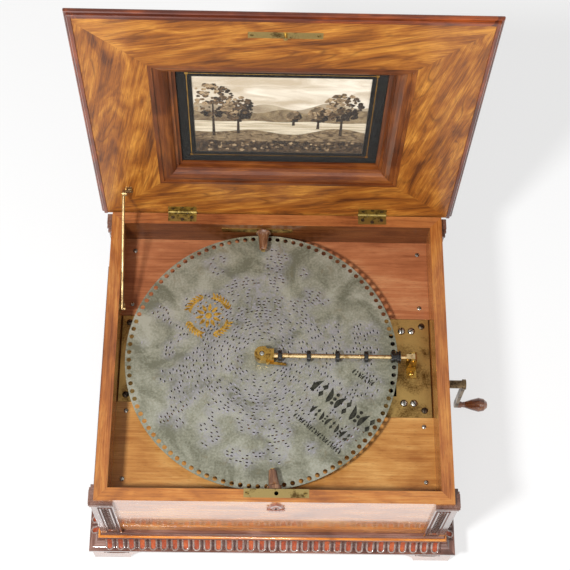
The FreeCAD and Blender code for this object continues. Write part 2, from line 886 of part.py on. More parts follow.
def plate_screw(x, y, depth):
    head = turned(
        [(0, plate_screw_radius), (plate_screw_height * 0.6, plate_screw_radius - 0.6), (plate_screw_height, 2.2)],
        (x, y, bed_z),
        AZ,
    )
    return join([head, rod(plate_screw_shank, (x, y, bed_z - depth), depth, AZ)])


def plate_screws():
    depth_lug = bed_z - deck_under + lug_thick
    bolts = [plate_screw(x, y, depth_lug) for x, y in lug_screw_places()]
    bolts += [plate_screw(x, y, wood_screw_length) for x, y in bed_screw_places()]
    return bolts


def comb_boss(side):
    y0 = disc_y + side * (comb_back_edge - comb_boss_depth)
    y1 = disc_y + side * comb_back_edge
    low = bed_z - 1
    high = star_z + comb_tooth_thick / 2 - comb_body_thick
    x0 = disc_x + star_first - star_pitch
    x1 = disc_x + star_first + star_pitch * star_count
    return box(x0, x1, min(y0, y1), max(y0, y1), low, high)


def bedplate(bolts):
    flat = [(x, y, deck_under) for x, y in bed_outline(0)]
    plate = prism(flat, Vector(0, 0, bed_z - deck_under))
    plate = join([plate, comb_boss(-1), comb_boss(1)])
    tip = sprocket_radius + sprocket_tooth_height + sprocket_slot_gap
    reach = sprocket_width / 2 + sprocket_slot_gap
    slot = box(sprocket_x - reach, sprocket_x + reach, disc_y - tip, disc_y + tip, deck_under - 1, bed_z + 1)
    return plate.cut([slot] + bolts)


def spindle():
    stem_top = disc_under - spindle_flange_thick
    base = [
        (0, spindle_flange_radius),
        (4, spindle_flange_radius),
        (7, spindle_stem_radius),
        (stem_top - bed_z, spindle_stem_radius),
        (stem_top - bed_z, spindle_flange_radius),
        (disc_under - bed_z, spindle_flange_radius),
        (disc_under - bed_z, spindle_radius),
        (disc_top + spindle_neck_low - bed_z, spindle_radius),
        (disc_top + spindle_neck_low - bed_z, spindle_neck_radius),
        (disc_top + spindle_neck_high - bed_z, spindle_neck_radius),
        (disc_top + spindle_neck_high - bed_z, spindle_radius),
        (disc_top + spindle_height - spindle_chamfer - bed_z, spindle_radius),
        (disc_top + spindle_height - bed_z, spindle_radius - spindle_chamfer),
    ]
    return turned(base, (disc_x, disc_y, bed_z), AZ)


def tune_disc():
    plane = Vector(disc_x, disc_y, disc_under)
    wires = [Part.Wire(Part.makeCircle(r, plane)) for r in (disc_radius, spindle_radius + running_gap)]
    for k in range(edge_hole_count):
        a = 2 * math.pi * k / edge_hole_count
        centre = plane + Vector(ring_radius * math.cos(a), ring_radius * math.sin(a), 0)
        wires.append(Part.Wire(Part.makeCircle(edge_hole_radius, centre)))
    sheet = Part.makeFace(wires, "Part::FaceMakerBullseye")
    solid = sheet.extrude(Vector(0, 0, disc_thick))
    return solid.cut(stop_slot())


def stop_slot():
    radius = disc_radius - stop_slot_inset
    half = stop_slot_length / 2 - stop_slot_width / 2
    slot = join(
        [
            box(radius - stop_slot_width / 2, radius + stop_slot_width / 2, -half, half, -1, disc_thick + 1),
            rod(stop_slot_width / 2, (radius, half, -1), disc_thick + 2, AZ),
            rod(stop_slot_width / 2, (radius, -half, -1), disc_thick + 2, AZ),
        ]
    )
    slot.rotate(Vector(), AZ, stop_slot_angle)
    slot.translate(Vector(disc_x, disc_y, disc_under))
    return slot


def roller_x(k):
    return disc_x + roller_first + k * roller_pitch


def plain_roller(k):
    x0 = roller_x(k) - roller_width / 2
    edge = 1.0
    profile = [
        (0, roller_radius - edge),
        (edge, roller_radius),
        (roller_width - edge, roller_radius),
        (roller_width, roller_radius - edge),
    ]
    body = turned(profile, (x0, disc_y, bar_z), AX)
    return body.cut(rod(bar_core_radius + running_gap, (x0 - 1, disc_y, bar_z), roller_width + 2, AX))


def edge_roller_end():
    # How far the outer roller reaches past its middle: its flange runs just outside the disc.
    return edge_hole_inset + edge_flange_gap + edge_flange_width


def edge_roller():
    # Two rims that press the disc beside the edge holes, a groove for the sprocket teeth, and a flange.
    x = roller_x(roller_count - 1)
    hub = roller_radius - groove_depth
    flange = edge_hole_inset + edge_flange_gap
    rim_out = min(rim_half_width, edge_hole_inset - 0.3)
    profile = [
        (-rim_half_width, roller_radius),
        (-groove_half_width, roller_radius),
        (-groove_half_width, hub),
        (groove_half_width, hub),
        (groove_half_width, roller_radius),
        (rim_out, roller_radius),
        (rim_out, hub),
        (flange, hub),
        (flange, roller_radius + edge_flange_reach),
        (edge_roller_end(), roller_radius + edge_flange_reach),
    ]
    body = turned(profile, (x, disc_y, bar_z), AX)
    start = x - rim_half_width - 1
    length = rim_half_width + edge_roller_end() + 2
    return body.cut(rod(bar_core_radius + running_gap, (start, disc_y, bar_z), length, AX))


def bar_sleeve(k, x0, x1):
    share = k / float(roller_count)
    radius = bar_sleeve_first_radius + (bar_sleeve_last_radius - bar_sleeve_first_radius) * share
    return rod(radius, (x0, disc_y, bar_z), x1 - x0, AX)


def pressure_bar():
    # The steel core with its brass sleeves between the rollers, and the eye block at the outer end.
    start = disc_x + tongue_right
    pieces = [rod(bar_core_radius, (start, disc_y, bar_z), bar_pivot_x - start, AX)]
    left = start
    for k in range(roller_count + 1):
        if k == roller_count:
            right = bar_pivot_x
        elif k == roller_count - 1:
            right = roller_x(k) - rim_half_width - rest_gap
        else:
            right = roller_x(k) - roller_width / 2 - rest_gap
        pieces.append(bar_sleeve(k, left, right))
        if k == roller_count - 1:
            left = roller_x(k) + edge_roller_end() + rest_gap
        elif k < roller_count - 1:
            left = roller_x(k) + roller_width / 2 + rest_gap
    y0 = disc_y - bar_block_depth / 2
    block = rod(bar_block_radius, (bar_pivot_x, y0, bar_z), bar_block_depth, AY)
    neck = box(
        bar_pivot_x - 2 * bar_block_radius,
        bar_pivot_x,
        y0 + 0.5,
        y0 + bar_block_depth - 0.5,
        bar_z - bar_block_radius + 1,
        bar_z + bar_block_radius - 1,
    )
    bore = rod(bar_pin_radius + running_gap, (bar_pivot_x, y0 - 1, bar_z), bar_block_depth + 2, AY)
    return join(pieces + [block, neck]).cut(bore)


def bar_tongue():
    # A round-nosed brass block over the spindle, with the shouldered pin of the catch underneath.
    low = bar_z - tongue_below
    high = bar_z + tongue_above
    radius = tongue_half_depth
    nose = rod(radius, (disc_x - tongue_left + radius, disc_y, low), high - low, AZ)
    block = box(disc_x - tongue_left + radius, disc_x + 6, disc_y - radius, disc_y + radius, low, high)
    heel = box(disc_x + 5, disc_x + tongue_right, disc_y - radius + 2.5, disc_y + radius - 2.5, low, high - 2.5)
    x = disc_x + catch_pivot_x
    y = disc_y + catch_pivot_y
    pad = rod(3.4, (x, y, low), 4.0, AZ)
    pin = rod(catch_pin_radius, (x, y, low), catch_thick + 2 * rest_gap, -AZ)
    head = rod(2.6, (x, y, low - catch_thick - 2 * rest_gap), 0.8, -AZ)
    body = join([nose, block, heel, pad, pin, head])
    hole = rod(spindle_radius + tongue_hole_gap, (disc_x, disc_y, low - 1), high - low + 2, AZ)
    return body.cut(hole)


def lever_bar(start, end, half_width, low, thick):
    # A flat bar with round ends between two points of the plan.
    along = Vector(end[0] - start[0], end[1] - start[1], 0)
    across = Vector(-along.y, along.x, 0).normalize() * half_width
    a, b = Vector(start[0], start[1], low), Vector(end[0], end[1], low)
    wire = Part.makePolygon([a + across, a - across, b - across, b + across, a + across])
    flat = Part.Face(wire).extrude(Vector(0, 0, thick))
    ends = [Part.makeCylinder(half_width, thick, p) for p in (a, b)]
    return flat.fuse(ends)


def bar_catch():
    low = bar_z - tongue_below - rest_gap - catch_thick
    pivot = (disc_x + catch_pivot_x, disc_y + catch_pivot_y)
    nose = (disc_x + catch_nose_x, disc_y + catch_nose_y)
    tail = (disc_x + catch_tail_x, disc_y + catch_tail_y)
    pieces = [
        lever_bar(pivot, nose, catch_nose_half_width, low, catch_thick),
        lever_bar(pivot, tail, catch_half_width, low, catch_thick),
        rod(3.2, (pivot[0], pivot[1], low), catch_thick, AZ),
    ]
    hole = rod(catch_pin_radius + running_gap, (pivot[0], pivot[1], low - 1), catch_thick + 2, AZ)
    return join(pieces).cut(hole)


def bar_bracket():
    # A brass strap bent up into two ears, with the pin that carries the bar's eye block.
    inner = bar_block_depth / 2 + rest_gap
    outer = inner + bracket_thick
    x0 = bar_pivot_x - bracket_width / 2
    x1 = bar_pivot_x + bracket_width / 2
    foot = box(x0, x1, disc_y - bracket_foot_front, disc_y + outer, bed_z, bed_z + bracket_thick)
    pieces = [foot]
    for y in (disc_y - outer, disc_y + inner):
        points = [
            (x0, y, bed_z),
            (x1, y, bed_z),
            (bar_pivot_x + bracket_top_radius, y, bar_z),
            (bar_pivot_x - bracket_top_radius, y, bar_z),
        ]
        pieces.append(prism(points, Vector(0, bracket_thick, 0)))
        pieces.append(rod(bracket_top_radius, (bar_pivot_x, y, bar_z), bracket_thick, AY))
    pieces.append(rod(bar_pin_radius, (bar_pivot_x, disc_y - outer - 1, bar_z), 2 * outer + 2, AY))
    screw_y = disc_y - (bracket_foot_front + outer) / 2
    pieces.append(
        turned([(0, 3.6), (1.4, 3.2), (2.0, 1.8)], (bar_pivot_x, screw_y, bed_z + bracket_thick), AZ)
    )
    return join(pieces)


def guide_frames():
    # Where each guide roller starts on its wall, and the way its axis points: inwards to the spindle.
    z = disc_top + rest_gap + bobbin_flange_radius
    back = Vector(disc_x, in_y, z)
    front = Vector(bobbin_front_x, -in_y, z)
    frames = []
    for start in (back, front):
        way = Vector(disc_x, disc_y, z) - start
        frames.append((start, way.normalize()))
    return frames


def bobbin(start, way):
    first = bobbin_wall_gap
    centre = Vector(disc_x, disc_y, start.z)
    flange_end = start.distanceToPoint(centre) - disc_radius + bobbin_lap
    profile = [
        (first, bobbin_flange_radius - 1.5),
        (first + 1, bobbin_flange_radius),
        (flange_end, bobbin_flange_radius),
        (flange_end + bobbin_cove_width * 0.4, bobbin_neck_radius + 0.8),
        (flange_end + bobbin_cove_width, bobbin_neck_radius),
        (first + bobbin_length - 1, bobbin_tip_radius),
        (first + bobbin_length, bobbin_tip_radius - 1),
    ]
    body = turned(profile, tuple(start), way)
    bore = Part.makeCylinder(bobbin_axle_radius + running_gap, bobbin_length + 20, start, way)
    return body.cut(bore)


def guide_axle(start, way, wall_normal, width, offset):
    # A brass strip on the wall with the axle that the guide roller turns on.
    length = bobbin_wall_gap + bobbin_length + rest_gap + bobbin_head_thick
    pin = Part.makeCylinder(bobbin_axle_radius, length, start, way)
    head_at = start + way * (length - bobbin_head_thick)
    head = Part.makeCylinder(bobbin_head_radius, bobbin_head_thick, head_at, way)
    low = start.z - guide_plate_height / 2
    y0 = start.y
    y1 = start.y + wall_normal * guide_plate_thick
    x0 = start.x + offset - width / 2
    strip = box(x0, x0 + width, min(y0, y1), max(y0, y1), low, low + guide_plate_height)
    shape = join([strip, pin, head])
    deep = sorted((y0, y0 - wall_normal * bobbin_axle_radius))
    behind = box(x0, x0 + width, deep[0], deep[1], low, low + guide_plate_height)
    return shape.cut(behind)


def guide_axles():
    (back, back_way), (front, front_way) = guide_frames()
    return Part.makeCompound(
        [
            guide_axle(back, back_way, -1, guide_plate_back_width, guide_plate_back_offset),
            guide_axle(front, front_way, 1, guide_plate_front_width, 0.0),
        ]
    )


def star_places():
    return [disc_x + star_first + k * star_pitch for k in range(star_count)]


def star_outline(x):
    points = []
    for k in range(2 * star_points):
        radius = star_root_radius if k % 2 else star_tip_radius
        a = math.pi * k / star_points + math.pi / 2
        points.append((x, disc_y + radius * math.cos(a), star_z + radius * math.sin(a)))
    return points


def gantry_ends():
    places = star_places()
    return places[0] - star_pitch, places[-1] + star_pitch


def star_wheels():
    x0, x1 = gantry_ends()
    x0 += rest_gap
    x1 -= rest_gap
    sleeve = rod(star_sleeve_radius, (x0, disc_y, star_z), x1 - x0, AX)
    stars = [prism(star_outline(x - star_thick / 2), Vector(star_thick, 0, 0)) for x in star_places()]
    bore = rod(star_axle_radius + running_gap, (x0 - 1, disc_y, star_z), x1 - x0 + 2, AX)
    return sleeve.fuse(stars).cut(bore)


def gantry():
    x0, x1 = gantry_ends()
    a = x0 - gantry_post_width
    b = x1 + gantry_post_width
    base = box(a, b, disc_y - gantry_half_depth, disc_y + gantry_half_depth, bed_z, bed_z + gantry_base_thick)
    pieces = [base]
    for low in (a, x1):
        high = low + gantry_post_width
        half = gantry_post_half_depth
        pieces.append(box(low, high, disc_y - half, disc_y + half, bed_z, star_z + half))
    pieces.append(rod(star_axle_radius, (x0 - 1, disc_y, star_z), x1 - x0 + 2, AX))
    return join(pieces)


def comb(side):
    # A steel comb: one tooth for each star wheel, cut deeper towards the long bass teeth near the spindle.
    x0, x1 = gantry_ends()
    tip = star_tip_radius + comb_tip_gap
    half_tooth = star_pitch * comb_tooth_fill / 2
    span = star_pitch * (star_count - 1)
    points = [(x0, comb_back_edge), (x0, comb_root_inner)]
    for k, x in enumerate(star_places()):
        share = k * star_pitch / span
        root = comb_root_inner + (comb_root_outer - comb_root_inner) * share
        points += [(x - half_tooth, root), (x - half_tooth, tip), (x + half_tooth, tip), (x + half_tooth, root)]
    points += [(x1, comb_root_outer), (x1, comb_back_edge)]
    low = star_z - comb_tooth_thick / 2
    high = star_z + comb_tooth_thick / 2
    plate = prism([(x, disc_y + side * y, low) for x, y in points], Vector(0, 0, comb_tooth_thick))
    y0 = disc_y + side * (comb_back_edge - comb_boss_depth)
    y1 = disc_y + side * comb_back_edge
    heel = box(x0, x1, min(y0, y1), max(y0, y1), high - comb_body_thick, high)
    return join([plate, heel])


def gear_points(teeth, module, y, z, phase):
    # Straight-flanked teeth with room between them. The first tooth points at the phase angle.
    pitch_radius = teeth * module / 2
    root = pitch_radius - 1.2 * module
    tip = pitch_radius + 0.8 * module
    step = 2 * math.pi / teeth
    points = []
    for k in range(teeth):
        middle = phase + k * step
        for radius, offset in ((root, -0.29), (tip, -0.11), (tip, 0.11), (root, 0.29)):
            a = middle + offset * step
            points.append((y + radius * math.cos(a), z + radius * math.sin(a)))
    return points


def gear(teeth, module, y, z, phase, x0, width):
    flat = [(x0, py, pz) for py, pz in gear_points(teeth, module, y, z, phase)]
    return prism(flat, Vector(width, 0, 0))


def meshing_phase(teeth_a, phase_a, teeth_b, direction):
    # The phase of wheel b so that its gap meets wheel a's tooth along the line from a to b.
    share = (direction - phase_a) / (2 * math.pi / teeth_a)
    return direction + math.pi - (0.5 - share) * 2 * math.pi / teeth_b


def angle_between(y0, z0, y1, z1):
    return math.atan2(z1 - z0, y1 - y0)


def great_to(y, z):
    return angle_between(arbor_y, arbor_z, y, z)


def plate_bore(radius):
    return radius + running_gap


def motor_plates():
    # Two plates across the bay with the arbors' bearings, and lugs that screw up to the bedplate.
    centres = [
        (journal_radius, arbor_y, arbor_z),
        (slim_arbor_radius, disc_y, sprocket_z),
        (slim_arbor_radius, train_y, train_z),
        (fly_arbor_radius, fly_y, fly_z),
    ]
    solids = []
    for x, way in ((plate_in_x, 1), (plate_out_x, -1)):
        outline = [
            (x, -motor_plate_front, deck_under),
            (x, -motor_plate_front, plate_low_z),
            (x, motor_plate_back, plate_low_z),
            (x, motor_plate_back, deck_under),
        ]
        plate = prism(outline, Vector(motor_plate_thick, 0, 0))
        inner = x + motor_plate_thick if way > 0 else x
        x0, x1 = sorted((inner, inner + way * lug_width))
        lugs = [
            box(x0, x1, side * lug_inner if side > 0 else -lug_outer, side * lug_outer if side > 0 else -lug_inner,
                deck_under - lug_thick, deck_under)
            for side in (-1, 1)
        ]
        holes = [rod(plate_bore(r), (x - 1, y, z), motor_plate_thick + 2, AX) for r, y, z in centres]
        solids.append(join([plate] + lugs).cut(holes))
    click_pin = rod(
        click_pin_radius, (ratchet_x - 1, arbor_y + click_pivot_y, arbor_z + click_pivot_z),
        plate_out_x - ratchet_x + 1, AX)
    solids[1] = join([solids[1], click_pin])
    return solids


def pillars():
    x0 = plate_in_x + motor_plate_thick
    length = plate_out_x - x0
    y_front = -motor_plate_front + pillar_inset
    y_back = motor_plate_back - pillar_inset
    z_low = plate_low_z + pillar_inset
    z_high = deck_under - lug_thick - pillar_inset
    places = [(y, z) for y in (y_front, y_back) for z in (z_low, z_high)]
    return Part.makeCompound([rod(pillar_radius, (x0, y, z), length, AX) for y, z in places])


def sprocket():
    # The toothed driving wheel with its arbor and pinion. One tooth stands straight up in an edge hole.
    body = sprocket_radius - disc_thick
    tip = sprocket_radius + sprocket_tooth_height
    step = 2 * math.pi / sprocket_teeth
    points = []
    for k in range(sprocket_teeth):
        middle = math.pi / 2 + k * step
        for radius, half in ((body, 2.1), (sprocket_radius + 0.6, 1.9), (tip, 1.0)):
            a = middle - half / radius
            points.append((disc_y + radius * math.cos(a), sprocket_z + radius * math.sin(a)))
        for radius, half in ((tip, 1.0), (sprocket_radius + 0.6, 1.9), (body, 2.1)):
            a = middle + half / radius
            points.append((disc_y + radius * math.cos(a), sprocket_z + radius * math.sin(a)))
    x0 = sprocket_x - sprocket_width / 2
    wheel = prism([(x0, y, z) for y, z in points], Vector(sprocket_width, 0, 0))
    arbor = rod(slim_arbor_radius, (plate_in_x, disc_y, sprocket_z), plate_out_x + motor_plate_thick - plate_in_x, AX)
    phase = meshing_phase(great_teeth, 0.0, pinion_teeth, great_to(disc_y, sprocket_z))
    width = gear_width + 2 * pinion_overlap
    pinion = gear(pinion_teeth, gear_module, disc_y, sprocket_z, phase, great_x - pinion_overlap, width)
    hub = rod(7.0, (x0 - 4, disc_y, sprocket_z), sprocket_width + 8, AX)
    return join([wheel, arbor, pinion, hub])


def spring_barrel():
    # The mainspring's drum, closed at both ends, with the great wheel fixed on its right end.
    drum = rod(barrel_radius, (barrel_x, arbor_y, arbor_z), barrel_length, AX)
    hollow_x = barrel_x + barrel_wall
    hollow = rod(barrel_radius - barrel_wall, (hollow_x, arbor_y, arbor_z), barrel_length - 2 * barrel_wall, AX)
    wheel = gear(great_teeth, gear_module, arbor_y, arbor_z, 0.0, great_x, gear_width)
    bore = rod(arbor_radius + running_gap, (barrel_x - 1, arbor_y, arbor_z), barrel_length + gear_width + 2, AX)
    return join([drum.cut(hollow), wheel]).cut(bore)


def mainspring():
    # The coiled spring at rest against the drum, drawn as the ring that its turns fill.
    x0 = barrel_x + barrel_wall + rest_gap
    length = barrel_length - 2 * barrel_wall - 2 * rest_gap
    outer = rod(barrel_radius - barrel_wall - 0.1, (x0, arbor_y, arbor_z), length, AX)
    return outer.cut(rod(barrel_radius * 0.45, (x0 - 1, arbor_y, arbor_z), length + 2, AX))


def train_arbor():
    # The second arbor: a pinion driven by the great wheel, and the wheel that drives the governor.
    phase = meshing_phase(great_teeth, 0.0, pinion_teeth, great_to(train_y, train_z))
    width = gear_width + 2 * pinion_overlap
    pinion = gear(pinion_teeth, gear_module, train_y, train_z, phase, great_x - pinion_overlap, width)
    wheel = gear(train_teeth, train_module, train_y, train_z, 0.0, train_wheel_x, gear_width - 1)
    length = plate_out_x + motor_plate_thick - plate_in_x
    arbor = rod(slim_arbor_radius, (plate_in_x, train_y, train_z), length, AX)
    return join([pinion, wheel, arbor])


def governor_fly():
    # The air brake: a pinion and two vanes on a slim arbor.
    direction = angle_between(train_y, train_z, fly_y, fly_z)
    phase = meshing_phase(train_teeth, 0.0, fly_pinion_teeth, direction)
    pinion = gear(fly_pinion_teeth, train_module, fly_y, fly_z, phase, train_wheel_x - 1, gear_width + 1)
    length = plate_out_x + motor_plate_thick - plate_in_x
    arbor = rod(fly_arbor_radius, (plate_in_x, fly_y, fly_z), length, AX)
    x1 = barrel_x + barrel_length
    half = fly_vane_thick / 2
    vane = box(barrel_x, x1, fly_y - fly_radius, fly_y + fly_radius, fly_z - half, fly_z + half)
    hub = rod(fly_hub_radius, (barrel_x, fly_y, fly_z), x1 - barrel_x, AX)
    return join([pinion, arbor, vane, hub])


def winding_arbor():
    # The barrel's arbor with its ratchet wheel. It runs out through the case to the crank.
    ratchet = []
    step = 2 * math.pi / ratchet_teeth
    start = math.radians(click_nose_angle) - 0.35 * step
    for k in range(ratchet_teeth):
        a = start + k * step
        ratchet.append((ratchet_radius, a))
        ratchet.append((ratchet_radius - ratchet_depth, a + 0.08 * step))
    points = [(ratchet_x, arbor_y + r * math.cos(a), arbor_z + r * math.sin(a)) for r, a in ratchet]
    wheel = prism(points, Vector(ratchet_width, 0, 0))
    plate_end = plate_in_x + motor_plate_thick
    core = rod(arbor_radius, (plate_end + rest_gap, arbor_y, arbor_z), plate_out_x - plate_end - 2 * rest_gap, AX)
    shaft_end = half_x + crank_sleeve_gap + crank_socket_depth
    journal = rod(journal_radius, (plate_in_x, arbor_y, arbor_z), shaft_end - plate_in_x, AX)
    return join([wheel, core, journal])


def click():
    # The pawl of the ratchet, drawn lifted just clear of the teeth.
    py = arbor_y + click_pivot_y
    pz = arbor_z + click_pivot_z
    a = math.radians(click_nose_angle)
    reach = ratchet_radius + click_lift
    tip = Vector(ratchet_x, arbor_y + reach * math.cos(a), arbor_z + reach * math.sin(a))
    outward = Vector(0, math.cos(a), math.sin(a))
    heel = tip + outward * click_nose_width
    centre = Vector(ratchet_x, py, pz)
    along = (heel - centre).normalize()
    across = Vector(0, -along.z, along.y) * 3.0
    wire = Part.makePolygon([centre + across, centre - across, heel, tip, centre + across])
    blade = Part.Face(wire).extrude(Vector(ratchet_width, 0, 0))
    eye = rod(click_eye_radius, (ratchet_x, py, pz), ratchet_width, AX)
    hole = rod(click_pin_radius + running_gap, (ratchet_x - 2, py, pz), ratchet_width + 4, AX)
    guard = rod(ratchet_radius + click_lift, (ratchet_x - 1, arbor_y, arbor_z), ratchet_width + 2, AX)
    return join([blade, eye]).cut(hole.fuse(guard))


def crank_arm():
    # The socket that slides on the arbor, the flat arm hanging down, and the pin for the grip.
    socket_x = half_x + crank_sleeve_gap
    socket = rod(crank_sleeve_radius, (socket_x, arbor_y, arbor_z), crank_x - socket_x, AX)
    x0 = crank_x - crank_arm_thick
    end_z = arbor_z - crank_throw
    half = crank_arm_width / 2
    blade = box(x0, crank_x, arbor_y - half, arbor_y + half, end_z, arbor_z)
    hub = rod(crank_hub_radius, (x0, arbor_y, arbor_z), crank_arm_thick, AX)
    toe = rod(half, (x0, arbor_y, end_z), crank_arm_thick, AX)
    pin = rod(crank_pin_radius, (x0, arbor_y, end_z), crank_arm_thick + rest_gap + crank_pin_length, AX)
    bore = rod(journal_radius, (socket_x, arbor_y, arbor_z), crank_socket_depth, AX)
    return join([socket, blade, hub, toe, pin]).cut(bore)


def crank_grip():
    # A turned wooden handle: ferrule, slim neck, full belly and a round end.
    start = crank_x + rest_gap
    neck = grip_ferrule_length
    belly = 0.70 * grip_length
    curve = [
        (neck, grip_neck_radius),
        (neck + 0.20 * (belly - neck), grip_neck_radius + 0.6),
        (neck + 0.60 * (belly - neck), grip_radius - 2.8),
        (belly, grip_radius),
        (belly + 0.55 * (grip_length - belly), 0.86 * grip_radius),
        (belly + 0.90 * (grip_length - belly), 0.48 * grip_radius),
        (grip_length, 0.12 * grip_radius),
    ]
    profile = [(0, grip_ferrule_radius), (neck, grip_ferrule_radius)] + curve
    z = arbor_z - crank_throw
    bore = rod(crank_pin_radius + running_gap, (start - 1, arbor_y, z), crank_pin_length + 2, AX)
    return turned(profile, (start, arbor_y, z), AX).cut(bore)


def build():
    nodes = case_walls()
    nodes["base_board"] = base_board()
    nodes["base_mouldings"] = base_mouldings()
    nodes["corner_posts"] = corner_posts()
    nodes["bracket_feet"] = bracket_feet()
    nodes["keyhole_escutcheon"] = keyhole_escutcheon()
    nodes["lock_plate"] = lock_plate()
    nodes["lock_body"] = lock_body()
    nodes["lock_bolt"] = lock_bolt_box(0.0)
    nodes["hinge_case_leaves"] = hinge_leaves(rim_z - hinge_leaf_thick, rim_z, False)
    nodes["stay_fork"] = stay_fork()

    screws = wood_screws(deck_screw_places(), deck_z)
    bolts = plate_screws()
    cutters = screws.Solids + bolts
    nodes["deck_back"] = deck_back().cut(cutters)
    nodes["deck_front"] = deck_front().cut(cutters)
    nodes["deck_bearers"] = Part.makeCompound([s.cut(cutters) for s in deck_bearers().Solids])
    nodes["deck_screws"] = screws
    nodes["bedplate"] = bedplate(bolts)
    nodes["bedplate_screws"] = Part.makeCompound(bolts)
    nodes["spindle"] = spindle()
    nodes["bar_bracket"] = bar_bracket()
    nodes["guide_axles"] = guide_axles()
    nodes["star_gantry"] = gantry()
    nodes["combs"] = Part.makeCompound([comb(-1), comb(1)])
    nodes["motor_plates"] = Part.makeCompound([plate.cut(bolts) for plate in motor_plates()])
    nodes["motor_pillars"] = pillars()

    lid = {
        "lid_rails": lid_rails(),
        "lid_edge_mouldings": lid_edge_mouldings(),
        "lid_board": lid_board(),
        "recess_mouldings": recess_mouldings(),
        "picture_glass": picture_glass(),
        "picture_mat": picture_mat(),
        "picture_print": picture_print(),
        "strike_plate": strike_plate(),
        "hinge_lid_leaves": hinge_leaves(lid_z, lid_z + hinge_leaf_thick, True),
        "stay_bracket": stay_bracket(),
    }
    for name, shape in lid.items():
        nodes[name] = on_lid(shape)
    nodes["stay_rod"] = stay_rod()

    nodes["tune_disc"] = tune_disc()
    nodes["pressure_bar"] = pressure_bar()
    nodes["bar_tongue"] = bar_tongue()
    nodes["bar_catch"] = bar_catch()
    for k in range(roller_count - 1):
        nodes["roller_%d" % (k + 1)] = plain_roller(k)
    nodes["edge_roller"] = edge_roller()
    (back, back_way), (front, front_way) = guide_frames()
    nodes["guide_roller_back"] = bobbin(back, back_way)
    nodes["guide_roller_front"] = bobbin(front, front_way)
    nodes["star_wheels"] = star_wheels()
    nodes["sprocket"] = sprocket()
    nodes["spring_barrel"] = spring_barrel()
    nodes["mainspring"] = mainspring()
    nodes["train_arbor"] = train_arbor()
    nodes["governor_fly"] = governor_fly()
    nodes["winding_arbor"] = winding_arbor()
    nodes["click"] = click()
    nodes["crank_arm"] = crank_arm()
    nodes["crank_grip"] = crank_grip()
    return nodes


def main():
    # The pieces are drawn about the middle of the case, then set over the middle of the whole outline.
    os.makedirs("parts", exist_ok=True)
    nodes = build()
    whole = Part.makeCompound(list(nodes.values())).BoundBox
    shift = Vector(-whole.Center.x, -whole.Center.y, -whole.ZMin)
    for name, shape in nodes.items():
        shape.translate(shift)
        shape.exportStep("parts/%s.step" % name)


main()
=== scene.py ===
import json
import random
from math import asin, atan2, cos, exp, hypot, pi, radians, sin, sqrt

import bpy
from bpy.props import FloatProperty, FloatVectorProperty, IntProperty, PointerProperty
from mathutils import Matrix, Vector, kdtree, noise
from mathutils.geometry import delaunay_2d_cdt


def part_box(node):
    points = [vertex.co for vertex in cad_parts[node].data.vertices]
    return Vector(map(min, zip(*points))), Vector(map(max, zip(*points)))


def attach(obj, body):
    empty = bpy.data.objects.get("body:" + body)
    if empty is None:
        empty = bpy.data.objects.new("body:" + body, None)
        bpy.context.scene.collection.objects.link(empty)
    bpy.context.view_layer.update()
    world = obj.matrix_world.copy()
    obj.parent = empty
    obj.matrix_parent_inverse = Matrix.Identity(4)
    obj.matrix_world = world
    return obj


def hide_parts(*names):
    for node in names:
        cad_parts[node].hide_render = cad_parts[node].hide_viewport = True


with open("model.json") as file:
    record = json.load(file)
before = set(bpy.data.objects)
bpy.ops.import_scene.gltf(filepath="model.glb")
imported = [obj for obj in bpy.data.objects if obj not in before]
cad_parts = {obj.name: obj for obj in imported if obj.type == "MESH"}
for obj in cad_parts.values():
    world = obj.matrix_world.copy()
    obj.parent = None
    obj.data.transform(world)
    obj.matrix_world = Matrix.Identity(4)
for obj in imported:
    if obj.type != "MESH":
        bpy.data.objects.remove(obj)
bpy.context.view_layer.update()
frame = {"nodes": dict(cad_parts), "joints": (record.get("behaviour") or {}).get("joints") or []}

bl_info = {
    "name": "Disc music box",
    "version": (1, 0, 0),
    "blender": (4, 5, 0),
    "location": "3D View > Sidebar > Music Box",
    "description": "Finishes and trim for a table music box with a punched disc",
    "category": "Object",
}

MM = 0.001


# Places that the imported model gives, in millimetres

def corners_of(name):
    low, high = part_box(name)
    return low * 1000, high * 1000


BOARD_LOW, BOARD_HIGH = corners_of("base_board")
CENTRE_X = (BOARD_LOW.x + BOARD_HIGH.x) / 2
CENTRE_Y = (BOARD_LOW.y + BOARD_HIGH.y) / 2
FRONT_LOW, FRONT_HIGH = corners_of("case_front")
HALF_X = (FRONT_HIGH.x - FRONT_LOW.x) / 2
HALF_Y = CENTRE_Y - FRONT_LOW.y
RIM = FRONT_HIGH.z
FOOT = FRONT_LOW.z
DISC_LOW, DISC_HIGH = corners_of("tune_disc")
DISC_X = (DISC_LOW.x + DISC_HIGH.x) / 2 - CENTRE_X
DISC_Y = (DISC_LOW.y + DISC_HIGH.y) / 2 - CENTRE_Y
DISC_RADIUS = (DISC_HIGH.y - DISC_LOW.y) / 2
DISC_TOP = DISC_HIGH.z
HINGE = next(j for j in frame["joints"] if j["name"] == "lid_hinge")
HINGE_POINT = Vector(HINGE["pos_m"]) * 1000
LID_ANGLE = radians(max(abs(end) for end in HINGE["range_deg"]))

# Sizes that the trim shares with the solids, in millimetres

LID_SEAM = 0.2
LID_UNDER = RIM + LID_SEAM
PLINTH_TOP = FOOT + 34.5
POST_REACH = 5.0
POST_WIDTH = 31.0
HINGE_PLACES = (-143.0, 143.0)
# Half the width and height of the print, as far as the mat leaves it free
PRINT_HALF_X = 118.4
PRINT_HALF_Y = 90.9
ABOVE = Vector((0, 0, 1))


def at(x, y, z):
    """A point given from the middle of the case, in millimetres, as metres of the row frame."""
    return Vector(((x + CENTRE_X) * MM, (y + CENTRE_Y) * MM, z * MM))


